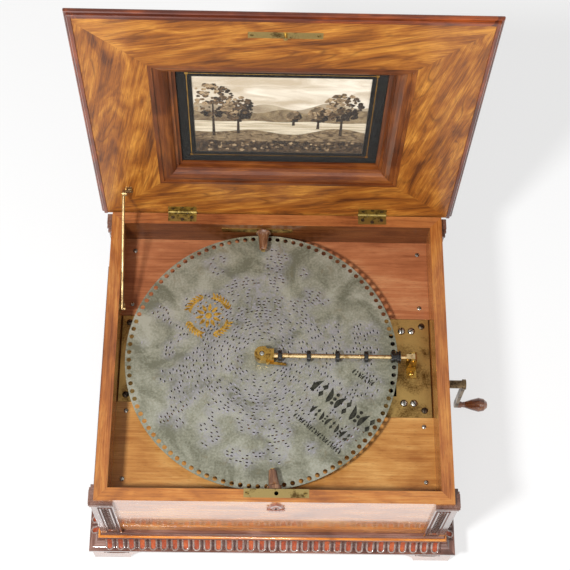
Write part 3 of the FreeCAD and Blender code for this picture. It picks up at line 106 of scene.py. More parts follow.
OPEN_LID = (
    Matrix.Translation(HINGE_POINT * MM)
    @ Matrix.Rotation(-LID_ANGLE, 4, "X")
    @ Matrix.Translation(-HINGE_POINT * MM)
)

GLASS_MIDDLE = sum(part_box("picture_glass"), Vector()) / 2
PRINT_YC = (OPEN_LID.inverted() @ GLASS_MIDDLE).y / MM - CENTRE_Y


def on_lid(x, y, height):
    """A point of the shut lid, its height above the lid's lower face, carried to where the open lid has it."""
    return OPEN_LID @ at(x, y, LID_UNDER + height)


def linear(code):
    """An sRGB hex colour as linear red, green and blue. A colour setting is linear already."""
    if not isinstance(code, str):
        return tuple(code)
    parts = [int(code[k:k + 2], 16) / 255 for k in (1, 3, 5)]
    return tuple(c / 12.92 if c <= 0.04045 else ((c + 0.055) / 1.055) ** 2.4 for c in parts)


def colour(label, words, code):
    return FloatVectorProperty(name=label, description=words, subtype="COLOR", size=3, min=0, max=1,
                               default=linear(code))


def length(label, words, value):
    return FloatProperty(name=label, description=words, default=value, min=0.01, soft_max=500.0)


class MusicBoxDiscSettings(bpy.types.PropertyGroup):
    """Sizes of the punched disc, in millimetres"""

    track_pitch: length("Track pitch", "Distance from one ring of slots to the next, in mm", 5.0)
    first_track: length("First track", "Radius of the innermost ring of slots, in mm", 30.0)
    track_count: IntProperty(name="Tracks", description="Rings of slots", default=30, min=1, max=60)
    slot_length: length("Slot length", "Length of a slot along its ring, in mm", 3.3)
    slot_width: length("Slot width", "Width of a slot, in mm", 1.6)
    slot_bridge: length("Slot bridge", "Least metal between two slots of a ring, in mm", 1.8)
    slot_spacing: length("Slot spacing", "Mean free length after a slot, in mm", 6.5)
    edge_holes: IntProperty(name="Edge holes", description="Holes for the driving sprocket", default=99, min=3)
    edge_hole_radius: length("Edge hole radius", "Radius of an edge hole, in mm", 3.4)
    edge_hole_inset: length("Edge hole inset", "From the edge to the middle of a hole, in mm", 5.5)
    sheet_thickness: length("Sheet", "Thickness of the disc, in mm", 1.0)


class MusicBoxTrimSettings(bpy.types.PropertyGroup):
    """Sizes of the carving and screws, in millimetres"""

    flute_count: IntProperty(name="Flutes", description="Carved flutes on the front moulding", default=31, min=2)
    flute_pitch: length("Flute pitch", "Distance between the middles of two flutes, in mm", 16.15)
    flute_half: length("Flute half width", "Half the width of a flute, in mm", 4.6)
    flute_rim: length("Flute rim", "Radius of the raised rim round a flute, in mm", 1.45)
    rung_count: IntProperty(name="Rungs", description="Carved rungs on each post", default=13, min=2)
    rung_pitch: length("Rung pitch", "Distance between two rungs, in mm", 8.6)
    leaf_screw: length("Hinge screw radius", "Head radius of the hinge screws, in mm", 2.8)
    gilt_line: length("Gilt line", "Width of the gilt line on the mat, in mm", 1.1)


class MusicBoxColours(bpy.types.PropertyGroup):
    """Colours of the finishes"""

    walnut_dark: colour("Walnut figure", "Dark figure of the walnut veneer", "#532708")
    walnut_middle: colour("Walnut", "Ground colour of the walnut veneer", "#975718")
    walnut_light: colour("Walnut sapwood", "Light streaks of the walnut veneer", "#cb8a36")
    moulding: colour("Moulding", "Stained walnut of the mouldings", "#5f2812")
    deck: colour("Deck", "Varnished deck boards", "#b8803f")
    fruitwood: colour("Fruitwood", "Turned rollers and grip", "#6a4228")
    brass: colour("Brass", "Clean parts of the old brass", "#b89555")
    brass_patina: colour("Patina", "Tarnished parts of the old brass", "#6d5230")
    zinc: colour("Zinc", "Clean parts of the disc", "#8b8b7a")
    # The lilac is a painted sheen: the light that the smooth metal round the slots catches.
    zinc_painted_sheen: colour("Zinc painted sheen", "Painted lilac sheen near the slots", "#9c9aa3")
    gilt: colour("Gilt", "Gold print and lines", "#c79a3c")


# Materials

def add(material, kind, sockets=None, result=0, stops=(), **settings):
    """Adds one shader node and returns its result. Sockets maps inputs to values or to other results, stops are
    the positions and colours of a ramp, and settings are the node's own options."""
    made = material.node_tree.nodes.new("ShaderNode" + kind)
    for key, value in settings.items():
        setattr(made, key, value)
    for number, (position, tint) in enumerate(stops):
        band = made.color_ramp.elements
        element = band[number] if number < len(band) else band.new(position)
        element.position = position
        element.color = (*tint, 1.0)
    for key, value in (sockets or {}).items():
        socket = made.inputs[key]
        if isinstance(value, bpy.types.NodeSocket):
            material.node_tree.links.new(value, socket)
        else:
            socket.default_value = (*value, 1.0) if socket.type == "RGBA" and len(value) == 3 else value
    return made.outputs[result] if made.outputs else made


def new_material(name):
    made = bpy.data.materials.new(name)
    made.use_nodes = True
    made.node_tree.nodes.clear()
    return made


def surface(material, sockets, height=None, height_mm=0.05):
    """Ends a material in one principled shader, with its relief from a height when one is given."""
    values = dict(sockets)
    if height is not None:
        values["Normal"] = add(material, "Bump", {"Height": height, "Distance": height_mm * MM})
    add(material, "OutputMaterial", {"Surface": add(material, "BsdfPrincipled", values)})
    return material


def blotches(material, vector, sizes_mm, detail=3.0, swirl=0.0, shift=0.0):
    """Soft blotches that measure sizes_mm along the three directions of the vector, from 0 to 1."""
    scaled = add(material, "Mapping", {
        "Vector": vector, "Scale": [1000.0 / s for s in sizes_mm], "Location": (shift, shift * 0.7, shift * 1.3)})
    return add(material, "TexNoise", {
        "Vector": scaled, "Scale": 1.0, "Detail": detail, "Roughness": 0.55, "Distortion": swirl})


def place(material, on_lid_piece=False):
    """Object coordinates in metres. Those of a lid piece are turned back to where the shut lid has them."""
    coordinates = add(material, "TexCoord", result="Object")
    if not on_lid_piece:
        return coordinates
    turn = Matrix.Rotation(LID_ANGLE, 3, "X")
    hinge = HINGE_POINT * MM
    return add(material, "Mapping", {
        "Vector": coordinates, "Rotation": (LID_ANGLE, 0, 0), "Location": hinge - turn @ hinge})


def grain_vector(material, along, lid=False, mitre=None, slant=0.0):
    """Coordinates with the first along the grain. A mitre (half width, half depth, middle y) in mm turns the
    grain on the two side members of a frame, and the slant lets it run out at an angle."""
    parts = add(material, "SeparateXYZ", {0: place(material, lid)}).node.outputs
    order = {"x": (0, 1, 2), "y": (1, 0, 2), "z": (2, 0, 1)}[along]
    first = add(material, "CombineXYZ", {k: parts[order[k]] for k in range(3)})
    if mitre is None:
        return first
    side = add(material, "CombineXYZ", {0: parts[1], 1: parts[0], 2: parts[2]})
    half_x, half_y, middle = mitre
    gaps = []
    for part, centre, half in ((parts[0], CENTRE_X, half_x), (parts[1], CENTRE_Y + middle, half_y)):
        away = add(material, "Math", {0: part, 1: centre * MM}, operation="SUBTRACT")
        reach = add(material, "Math", {0: away}, operation="ABSOLUTE")
        gaps.append(add(material, "Math", {0: reach, 1: half * MM}, operation="SUBTRACT"))
    is_side = add(material, "Math", {0: gaps[0], 1: gaps[1]}, operation="GREATER_THAN")
    mitred = add(material, "Mix", {0: is_side, 4: first, 5: side}, result=1, data_type="VECTOR")
    return add(material, "Mapping", {"Vector": mitred, "Rotation": (0, 0, slant)})


def wood(name, dark, middle, light, along="x", vein_mm=(260, 30, 30), veins=14.0, vein_dark=0.5,
         shade_mm=(90, 36, 36), rough=0.3, coat=0.5, lid=False, mitre=None, shift=0.0, contrast=0.5, swirl=0.6,
         upright=1.0, slant=0.0):
    """Planed, filled and polished wood: dark veins that follow the contours of a slow noise along the grain, and
    come and go, over soft shading, fine fibres and short dark pores. Upright faces can be darker."""
    m = new_material(name)
    dark, middle, light = linear(dark), linear(middle), linear(light)
    grain = grain_vector(m, along, lid, mitre, slant)
    slow = blotches(m, grain, shade_mm, 3.0, swirl, shift + 5.3)
    fibres = blotches(m, grain, (46.0, 1.3, 1.3), 4.0, 0.3, shift + 3.1)
    strands = blotches(m, grain, (120.0, 5.0, 5.0), 3.0, 0.5, shift + 2.2)
    fine = add(m, "Mix", {0: 0.5, 2: fibres, 3: strands})
    mixed = add(m, "Mix", {0: 0.5, 2: fine, 3: slow})
    half = 0.075 / contrast
    tone = add(m, "MapRange", {"Value": mixed, "From Min": 0.5 - half, "From Max": 0.5 + half})
    ground = add(m, "ValToRGB", {0: tone}, stops=[(0.0, dark), (0.5, middle), (1.0, light)])
    bed = blotches(m, grain, vein_mm, 1.5, swirl, shift)
    contour = add(m, "Math", {0: add(m, "Math", {0: bed, 1: veins}, operation="MULTIPLY"), 1: 1.0},
                  operation="PINGPONG")
    line = add(m, "MapRange", {"Value": contour, "From Min": 0.0, "From Max": 0.45, "To Min": 1.0, "To Max": 0.0})
    patch = blotches(m, grain, (70.0, 26.0, 26.0), 2.0, 0.5, shift + 8.8)
    amount = add(m, "MapRange", {"Value": patch, "From Min": 0.42, "From Max": 0.6, "To Max": vein_dark})
    veined = add(m, "Mix", {0: add(m, "Math", {0: line, 1: amount}, operation="MULTIPLY"), 6: ground, 7: dark},
                 result=2, data_type="RGBA")
    # Pores are 0.4 mm wide on walnut and are drawn a little coarser, so that they show.
    pores = add(m, "MapRange", {
        "Value": blotches(m, grain, (9.0, 0.8, 0.8), 2.0, 0.0, shift + 7.7), "From Min": 0.58, "From Max": 0.7,
        "To Max": 0.4})
    inked = add(m, "Mix", {0: pores, 6: veined, 7: tuple(c * 0.45 for c in dark)}, result=2, data_type="RGBA")
    if upright < 1.0:
        lean = add(m, "SeparateXYZ", {0: add(m, "NewGeometry", result="True Normal")}).node.outputs
        flat = add(m, "MapRange", {"Value": lean[2], "From Min": 0.3, "From Max": 0.7, "To Min": upright})
        dimmer = add(m, "CombineColor", {0: flat, 1: flat, 2: flat})
        inked = add(m, "Mix", {0: 1.0, 6: inked, 7: dimmer}, result=2, data_type="RGBA", blend_type="MULTIPLY")
    gloss = add(m, "MapRange", {
        "Value": fibres, "From Min": 0.3, "From Max": 0.7, "To Min": rough * 0.85, "To Max": rough * 1.2})
    height = add(m, "Math", {0: 1.0, 1: pores}, operation="SUBTRACT")
    return surface(m, {"Base Color": inked, "Roughness": gloss, "Coat Weight": coat, "Coat Roughness": 0.08,
                       "Specular IOR Level": 0.35}, height, 0.04)


def patinated_metal(name, clean, dirty, rough=0.34, blotch_mm=22.0, share=0.5, along="x", contrast=0.5):
    """Old metal: bright where hands and parts rub it, brown and duller elsewhere, with fine brush lines."""
    m = new_material(name)
    clean, dirty = linear(clean), linear(dirty)
    spot = place(m)
    worn = blotches(m, spot, (blotch_mm,) * 3, 5.0, 0.6)
    specks = blotches(m, spot, (2.4,) * 3, 3.0, 0.0, 4.0)
    mixed = add(m, "Mix", {0: 0.25, 2: worn, 3: specks})
    half = 0.06 / contrast
    rubbed = add(m, "MapRange", {"Value": mixed, "From Min": 0.5 - half, "From Max": 0.5 + half})
    bright = tuple(min(1.0, c * 1.15) for c in clean)
    tint = add(m, "ValToRGB", {0: rubbed}, stops=[(0.0, dirty), (share, clean), (1.0, bright)])
    lines = blotches(m, grain_vector(m, along), (30, 0.6, 0.6), 2.0, 0.0, 9.0)
    gloss = add(m, "MapRange", {
        "Value": mixed, "From Min": 0.35, "From Max": 0.65, "To Min": rough * 1.25, "To Max": rough * 0.8})
    return surface(m, {"Base Color": tint, "Metallic": 1.0, "Roughness": gloss}, lines, 0.015)


def mottled(name, low, high, size_mm, rough, lid=False, relief_mm=0.01, swirl=0.4, more=None):
    """An even finish in two tones, which run into each other in blotches of the size given."""
    m = new_material(name)
    spot = place(m, lid)
    cloud = blotches(m, spot, size_mm, 5.0, swirl)
    grain = blotches(m, spot, (0.9,) * 3, 2.0, 0.0, 2.0)
    mixed = add(m, "Mix", {0: 0.2, 2: cloud, 3: grain})
    tone = add(m, "ValToRGB", {0: mixed}, stops=[(0.4, linear(low)), (0.6, linear(high))])
    return surface(m, {"Base Color": tone, "Roughness": rough, **(more or {})}, grain, relief_mm)


def finish_all(nodes, material):
    for name in nodes:
        held = frame["nodes"][name]
        held.data.materials.clear()
        held.data.materials.append(material)


# Meshes

class Pile:
    """Faces gathered for one piece. Points are metres of the row frame."""

    def __init__(self):
        self.points = []
        self.faces = []

    def put(self, points, faces, matrix=None):
        start = len(self.points)
        self.points += [matrix @ Vector(p) if matrix else Vector(p) for p in points]
        self.faces += [[start + k for k in face] for face in faces]

    def rings(self, points, sides, matrix=None, turn=1):
        """Joins equal rings of points into a closed skin. Turn is -1 where the rings run the other way round."""
        last = len(points) // sides - 1
        faces = []
        for row in range(last):
            for k in range(sides):
                n = (k + 1) % sides
                faces.append([row * sides + k, row * sides + n, (row + 1) * sides + n, (row + 1) * sides + k])
        faces.append(list(range(sides))[::-turn])
        faces.append([last * sides + k for k in range(sides)][::turn])
        self.put(points, faces, matrix)

    def lathe(self, profile, matrix, sides=20):
        """Turns (radius, height) points in millimetres round Z."""
        points = []
        for radius, height in profile:
            points += [(x * MM, y * MM, height * MM) for x, y in ring_outline(radius, sides)]
        self.rings(points, sides, matrix)

    def tube(self, path, radius, sides=6, up=ABOVE):
        """A round bead of the radius, in millimetres, along points in metres."""
        points = []
        for k, point in enumerate(path):
            ahead = (path[min(k + 1, len(path) - 1)] - path[max(k - 1, 0)]).normalized()
            across = ahead.cross(up)
            if across.length < 1e-6:
                across = ahead.cross(Vector((1, 0, 0)))
            across.normalize()
            over = across.cross(ahead)
            points += [point + (across * x + over * y) * radius * MM for x, y in ring_outline(1.0, sides)]
        self.rings(points, sides, turn=-1)

    def plate(self, outline, thickness, matrix, slope=0.0):
        """A plate: an outline in millimetres in the XY plane, raised by the thickness. With a slope its top is
        that much smaller all round."""
        n = len(outline)
        cx = sum(x for x, _ in outline) / n
        cy = sum(y for _, y in outline) / n
        points = [(x * MM, y * MM, 0) for x, y in outline]
        for x, y in outline:
            share = max(0.0, 1 - slope / (hypot(x - cx, y - cy) or 1.0))
            points.append(((cx + (x - cx) * share) * MM, (cy + (y - cy) * share) * MM, thickness * MM))
        faces = [list(range(n))[::-1], [n + k for k in range(n)]]
        faces += [[k, (k + 1) % n, n + (k + 1) % n, n + k] for k in range(n)]
        self.put(points, faces, matrix)

    def make(self, name, body, material, slot, smooth_deg=35.0, replaces=()):
        if not self.faces:
            raise RuntimeError("no faces were made for " + name)
        mesh = bpy.data.meshes.new(name)
        mesh.from_pydata([tuple(p) for p in self.points], [], self.faces)
        mesh.validate()
        mesh.materials.append(material)
        mesh.polygons.foreach_set("use_smooth", [True] * len(mesh.polygons))
        mesh.set_sharp_from_angle(angle=radians(smooth_deg))
        made = bpy.data.objects.new(name, mesh)
        bpy.context.scene.collection.objects.link(made)
        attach(made, body)
        for node in replaces:
            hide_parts(node)
        return made


def frame_at(origin, ahead, up):
    """A matrix whose X runs ahead and whose Z runs up, with its origin at a point in metres."""
    z = up.normalized()
    x = (ahead - z * ahead.dot(z)).normalized()
    y = z.cross(x)
    rotation = Matrix((x, y, z)).transposed().to_4x4()
    return Matrix.Translation(origin) @ rotation


def teardrop(long, wide, bend=0.0, steps=7):
    """A leaf outline: a point at each end, fullest a third of the way along, bent to one side."""
    upper = []
    lower = []
    for k in range(steps + 1):
        t = k / steps
        half = wide / 2 * sin(pi * t ** 0.75)
        sway = bend * sin(pi * t)
        upper.append((t * long, sway + half))
        lower.append((t * long, sway - half))
    return lower[:-1] + upper[::-1][:-1]


def turned_outline(outline, angle, x, y, scale=1.0):
    c, s = cos(angle) * scale, sin(angle) * scale
    return [(x + px * c - py * s, y + px * s + py * c) for px, py in outline]


def ring_outline(radius, sides, squash=1.0):
    return [
        (radius * cos(2 * pi * k / sides), radius * squash * sin(2 * pi * k / sides))
        for k in range(sides)
    ]


# Finishes

# Where a frame's members meet: half its width and depth at the grain's turn, and the middle of its depth
PLINTH_MITRE = (224, 198, 0)
RAIL_MITRE = (171.5, 143.0, PRINT_YC)
RECESS_MITRE = (139, 110, PRINT_YC)
LID_EDGE_MITRE = (220, 200, -9)
# Lengths of a vein in mm, along the grain and across it
MOULDING_VEINS = (260, 12, 12)
TURNED_VEINS = (70, 9, 9)
CARVED_VEINS = (60, 8, 8)


class MUSICBOX_OT_woodwork(bpy.types.Operator):
    """Polishes the case, lid, mouldings and boards"""

    bl_idname = "music_box.woodwork"
    bl_label = "Woodwork"

    def execute(self, context):
        c = context.scene.music_box_colours
        veneer = c.walnut_dark, c.walnut_middle, c.walnut_light
        # French-polished walnut veneer: a clear, slightly soft gloss over brown figure.
        finish_all(["case_front"], wood(
            "walnut_french_polished_front", "#7d4219", "#b6712f", "#d09650", "x",
            (300, 20, 20), rough=0.2, coat=0.9, shift=1.0))
        finish_all(["case_back"], wood(
            "walnut_french_polished_back", "#5f2c12", "#99592e", "#b8763f", "x",
            (300, 30, 30), coat=0.4, shift=4.6, upright=0.42))
        finish_all(["case_left", "case_right"], wood(
            "walnut_french_polished_sides", "#6a3414", "#a3602a", "#c98a44", "y",
            (300, 20, 20), rough=0.26, coat=0.6, shift=5.0))
        finish_all(["lid_rails"], wood(
            "walnut_crotch_veneer", *veneer, "x", (230, 40, 40), 20.0, 0.6, (90, 30, 30), 0.4, 0.12,
            lid=True, mitre=RAIL_MITRE, shift=2.0, contrast=0.55, swirl=1.0, slant=0.2))
        finish_all(["lid_board"], wood(
            "walnut_outer_veneer", *veneer, "x", (170, 62, 62), 22.0, 0.6, (80, 40, 40), 0.28, 0.5,
            lid=True, shift=6.0, swirl=1.6))
        # Stained and polished mouldings: redder and darker, with lighter streaks in the grain.
        finish_all(["lid_edge_mouldings"], wood(
            "walnut_stained_moulding", "#3a140a", c.moulding, "#a5501f", "x", MOULDING_VEINS,
            rough=0.3, coat=0.4, lid=True, mitre=LID_EDGE_MITRE, shift=3.0))
        finish_all(["recess_mouldings"], wood(
            "walnut_recess_moulding", "#371404", "#66300d", "#94541f", "x", MOULDING_VEINS,
            rough=0.36, coat=0.2, lid=True, mitre=RECESS_MITRE, shift=4.0))
        finish_all(["bracket_feet"], wood(
            "walnut_foot", "#5a3222", "#8e5c44", "#b58569", "x", (200, 12, 12),
            rough=0.2, coat=0.9, shift=9.0))
        # Deck boards: thin varnished softwood, redder at the back where less light has bleached it.
        finish_all(["deck_back"], wood(
            "deck_board_red", "#7f4526", "#a96740", "#c18a5e", "x", (600, 16, 16),
            veins=12.0, vein_dark=0.3, rough=0.42, coat=0.2, shift=11.0, swirl=0.1))
        finish_all(["deck_front"], wood(
            "deck_board_golden", "#94591f", c.deck, "#d3a25e", "x", (420, 60, 60),
            veins=10.0, vein_dark=0.25, rough=0.42, coat=0.2, shift=12.0, swirl=0.8))
        finish_all(["deck_bearers", "base_board"], wood(
            "carcase_softwood", "#6b3f1c", "#94602f", "#b07c45", "y", (400, 20, 20),
            rough=0.55, coat=0.0, shift=13.0))
        # Turned fruitwood, stained brown and waxed: close grain, strong small highlights.
        finish_all(["guide_roller_back", "guide_roller_front"], wood(
            "fruitwood_turned", "#3a2012", c.fruitwood, "#a97f5c", "y", TURNED_VEINS,
            vein_dark=0.3, shade_mm=(40, 9, 9), rough=0.18, coat=0.9, shift=14.0))
        finish_all(["crank_grip"], wood(
            "fruitwood_grip", "#5a2a12", "#8c4d24", "#c08049", "x", TURNED_VEINS,
            vein_dark=0.3, shade_mm=(40, 9, 9), rough=0.16, coat=0.9, shift=15.0))
        return {"FINISHED"}


class MUSICBOX_OT_metalwork(bpy.types.Operator):
    """Gives the brass, steel and painted iron parts their aged finishes"""

    bl_idname = "music_box.metalwork"
    bl_label = "Metalwork"

    def execute(self, context):
        c = context.scene.music_box_colours
        # Cast iron under bronze paint, gone brown: a satin metal with wide blotches.
        finish_all(["bedplate"], patinated_metal(
            "bedplate_bronze_paint", "#b39459", "#5e431f", 0.4, 40.0, 0.5, contrast=0.42))
        finish_all(["star_gantry", "combs"], patinated_metal(
            "comb_steel_oiled", "#8f8d86", "#5a554c", 0.35, 25.0))
        # Rolled brass plate, tarnished in the corners and rubbed on its face.
        finish_all(["lock_plate", "strike_plate"], patinated_metal(
            "brass_plate_tarnished", "#ab9560", "#5d4a2a", 0.38, 20.0, 0.45))
        finish_all(["hinge_case_leaves", "hinge_lid_leaves"], patinated_metal(
            "brass_hinge_rubbed", "#94804a", "#564626", 0.42, 10.0, 0.5))
        finish_all(["stay_fork", "stay_bracket", "stay_rod"], patinated_metal(
            "brass_stay_dull", "#a99066", "#6c5638", 0.4, 18.0))
        finish_all(["pressure_bar"], patinated_metal(
            "brass_bar_turned", "#d2b98a", "#94774a", 0.3, 12.0, 0.4))
        finish_all(["bar_tongue", "bar_bracket"], patinated_metal(
            "brass_cast_worn", "#b8954c", "#72552a", 0.26, 9.0, 0.45))
        finish_all(["bar_catch"], patinated_metal(
            "brass_catch_rubbed", "#b3883c", "#5f421c", 0.3, 9.0, 0.45))
        finish_all(["guide_axles"], patinated_metal(
            "brass_strip_old", c.brass, c.brass_patina, 0.34, 15.0))
        finish_all(["motor_plates", "spring_barrel", "train_arbor", "governor_fly"], patinated_metal(
            "brass_clockwork", "#b4924f", "#7a5d31", 0.36, 30.0))
        finish_all(["spindle", "star_wheels", "mainspring", "motor_pillars"], patinated_metal(
            "steel_bright_ground", "#a9a79f", "#6b6860", 0.26, 9.0))
        # Blued steel, rubbed grey-brown at the edges.
        finish_all(["lock_body", "lock_bolt", "sprocket", "winding_arbor", "click"], patinated_metal(
            "steel_blued_rubbed", "#5b544c", "#2c2823", 0.36, 9.0))
        finish_all(["crank_arm"], patinated_metal(
            "steel_crank_brown", "#6f5d45", "#33271c", 0.34, 11.0))
        # Rollers of blackened steel: near black with a soft grey sheen.
        finish_all(["roller_1", "roller_2", "roller_3", "roller_4", "edge_roller"], mottled(
            "roller_blackened", "#0d0d0d", "#1f1e1d", (3.0,) * 3, 0.22))
        # Clear sheet glass: it shows the print and a little of the room.
        finish_all(["picture_glass"], mottled(
            "glass_sheet_clear", "#f3f6f4", "#fbfcfb", (90.0,) * 3, 0.03, lid=True,
            more={"Alpha": 0.02, "Specular IOR Level": 0.15}))
        return {"FINISHED"}


# The disc

SPINDLE_HOLE = 3.36
STOP_INSET = 15.0
STOP_ANGLE = radians(-40)
# The painted sheen round the slots: spacing of the points that carry it, and how far it reaches, in mm
PAINTED_SHEEN_GRID = 6.0
PAINTED_SHEEN_REACH = 7.0


def disc_point(radius, angle):
    return radius * cos(angle), radius * sin(angle)


def slot_table(sizes):
    """(radius, angle) of every tune slot. A tune's slots gather in phrases with bare metal between them, and lie
    closer together on the inner rings."""
    dice = random.Random(41)
    table = []
    least = sizes.slot_length + sizes.slot_bridge
    for ring in range(sizes.track_count):
        radius = sizes.first_track + ring * sizes.track_pitch
        inwards = 1 - ring / sizes.track_count
        walk = dice.uniform(0, least)
        last = 2 * pi * radius - least
        while walk < last:
            angle = walk / radius
            x, y = disc_point(radius, angle)
            phrase = noise.noise(Vector((x / 34, y / 34, 4.2))) + 0.9 * inwards - 0.28
            if phrase > 0:
                table.append((radius, angle))
                walk += least
            walk += dice.expovariate(1 / sizes.slot_spacing)
    return table


def punched_sheet(pile, sizes, slots):
    """The disc with its edge holes, stop slot, spindle hole and tune slots cut through."""
    loops = [[disc_point(DISC_RADIUS, 2 * pi * k / 297) for k in range(297)]]
    ring = DISC_RADIUS - sizes.edge_hole_inset
    for k in range(sizes.edge_holes):
        cx, cy = disc_point(ring, 2 * pi * k / sizes.edge_holes)
        loops.append([(cx + x, cy + y) for x, y in ring_outline(sizes.edge_hole_radius, 16)])
    loops.append(ring_outline(SPINDLE_HOLE, 24))
    stop = [(-2, -7.5), (-1.2, -9.1), (1.2, -9.1), (2, -7.5), (2, 7.5), (1.2, 9.1), (-1.2, 9.1), (-2, 7.5)]
    loops.append(turned_outline([(x + DISC_RADIUS - STOP_INSET, y) for x, y in stop], STOP_ANGLE, 0, 0))
    half_l, half_w = sizes.slot_length / 2, sizes.slot_width / 2
    shape = [(-half_w, -half_l), (half_w, -half_l), (half_w, half_l), (-half_w, half_l)]
    for radius, angle in slots:
        loops.append(turned_outline([(radius + x, y) for x, y in shape], angle, 0, 0))
    flat, edges, owner = [], [], []
    # Points between the slots carry the fading of the painted sheen.
    reach = int(DISC_RADIUS / PAINTED_SHEEN_GRID)
    for row in range(-reach, reach + 1):
        for column in range(-reach, reach + 1):
            spot = Vector(((column + 0.5 * (row % 2)) * PAINTED_SHEEN_GRID, row * PAINTED_SHEEN_GRID * 0.87))
            if 8.0 < spot.length < ring - 5.0:
                flat.append(spot)
                owner.append(-1)
    for number, loop in enumerate(loops):
        start = len(flat)
        flat += [Vector(p) for p in loop]
        owner += [number] * len(loop)
        edges += [(start + k, start + (k + 1) % len(loop)) for k in range(len(loop))]
    points, _, faces, sources, _, _ = delaunay_2d_cdt(flat, edges, [], 0, 1e-6)
    origin = [max(owner[v] for v in source) if source else 0 for source in sources]
    # A face whose corners all belong to one hole lies in that hole.
    kept = []
    for face in faces:
        owners = {origin[v] for v in face}
        if len(owners) > 1 or not owners.isdisjoint({0, -1}):
            kept.append(list(face))
    count = len(points)
    low = DISC_TOP - sizes.sheet_thickness
    solid_points = [at(DISC_X + p.x, DISC_Y + p.y, DISC_TOP) for p in points]
    solid_points += [at(DISC_X + p.x, DISC_Y + p.y, low) for p in points]
    solid_faces = []
    used = []
    for face in kept:
        a, b, c = (points[v] for v in face[:3])
        if (b - a).cross(c - a) < 0:
            face.reverse()
        solid_faces.append(face)
        solid_faces.append([v + count for v in reversed(face)])
        for k in range(len(face)):
            used.append((face[k], face[(k + 1) % len(face)]))
    both_ways = set(used)
    for a, b in used:
        if (b, a) not in both_ways:
            solid_faces.append([a, a + count, b + count, b])
    pile.put(solid_points, solid_faces)


def mark_painted_sheen(sheet, slots):
    """Writes on each point of the sheet how near it is to the punched slots, from 0 to 1, as the share of the painted
    sheen.
    """
    tree = kdtree.KDTree(len(slots))
    for number, (radius, angle) in enumerate(slots):
        x, y = disc_point(radius, angle)
        tree.insert((x, y, 0), number)
    tree.balance()
    middle = at(DISC_X, DISC_Y, 0)
    nearness = sheet.data.attributes.new("painted_sheen", "FLOAT", "POINT")
    for point, mark in zip(sheet.data.vertices, nearness.data):
        spot = (point.co - middle) / MM
        found = tree.find_n((spot.x, spot.y, 0), 3)
        mark.value = sum(exp(-(away / PAINTED_SHEEN_REACH) ** 2) for _, _, away in found) / 3


def zinc_material(c):
    """Rolled, zinc-plated sheet: dull olive grey, with a painted lilac sheen round the punched tracks, where the
    smooth metal catches the light, and brown handling marks."""
    m = new_material("zinc_sheet_punched")
    spot = place(m)
    cloud = blotches(m, spot, (60, 60, 60), 5.0, 1.4)
    grain = blotches(m, spot, (3.2, 3.2, 3.2), 4.0, 0.3, 3.0)
    mixed = add(m, "Mix", {0: 0.3, 2: cloud, 3: grain})
    dull, clean, bright = linear("#6b6b5a"), linear(c.zinc), linear("#a8a899")
    base = add(m, "ValToRGB", {0: mixed}, stops=[(0.4, dull), (0.5, clean), (0.62, bright)])
    # Painted sheen: a lilac tint in patches near the slots, where the smooth metal catches the light.
    near_slots = add(m, "Attribute", result="Fac", attribute_name="painted_sheen")
    wisps = blotches(m, spot, (11, 11, 11), 5.0, 2.0, 6.0)
    patches = add(m, "MapRange", {"Value": wisps, "From Min": 0.36, "From Max": 0.56, "To Max": 0.95})
    amount = add(m, "Math", {0: patches, 1: near_slots}, operation="MULTIPLY")
    with_painted_sheen = add(m, "Mix", {0: amount, 6: base, 7: linear(c.zinc_painted_sheen)}, result=2, data_type="RGBA")
    handled = blotches(m, spot, (19, 19, 19), 6.0, 1.0, 9.0)
    rust = add(m, "MapRange", {"Value": handled, "From Min": 0.6, "From Max": 0.7, "To Max": 0.4})
    stained = add(m, "Mix", {0: rust, 6: with_painted_sheen, 7: linear("#76694c")}, result=2, data_type="RGBA")
    gloss = add(m, "MapRange", {"Value": cloud, "From Min": 0.35, "From Max": 0.65, "To Min": 0.5, "To Max": 0.36})
    return surface(m, {"Base Color": stained, "Metallic": 0.5, "Roughness": gloss}, grain, 0.03)


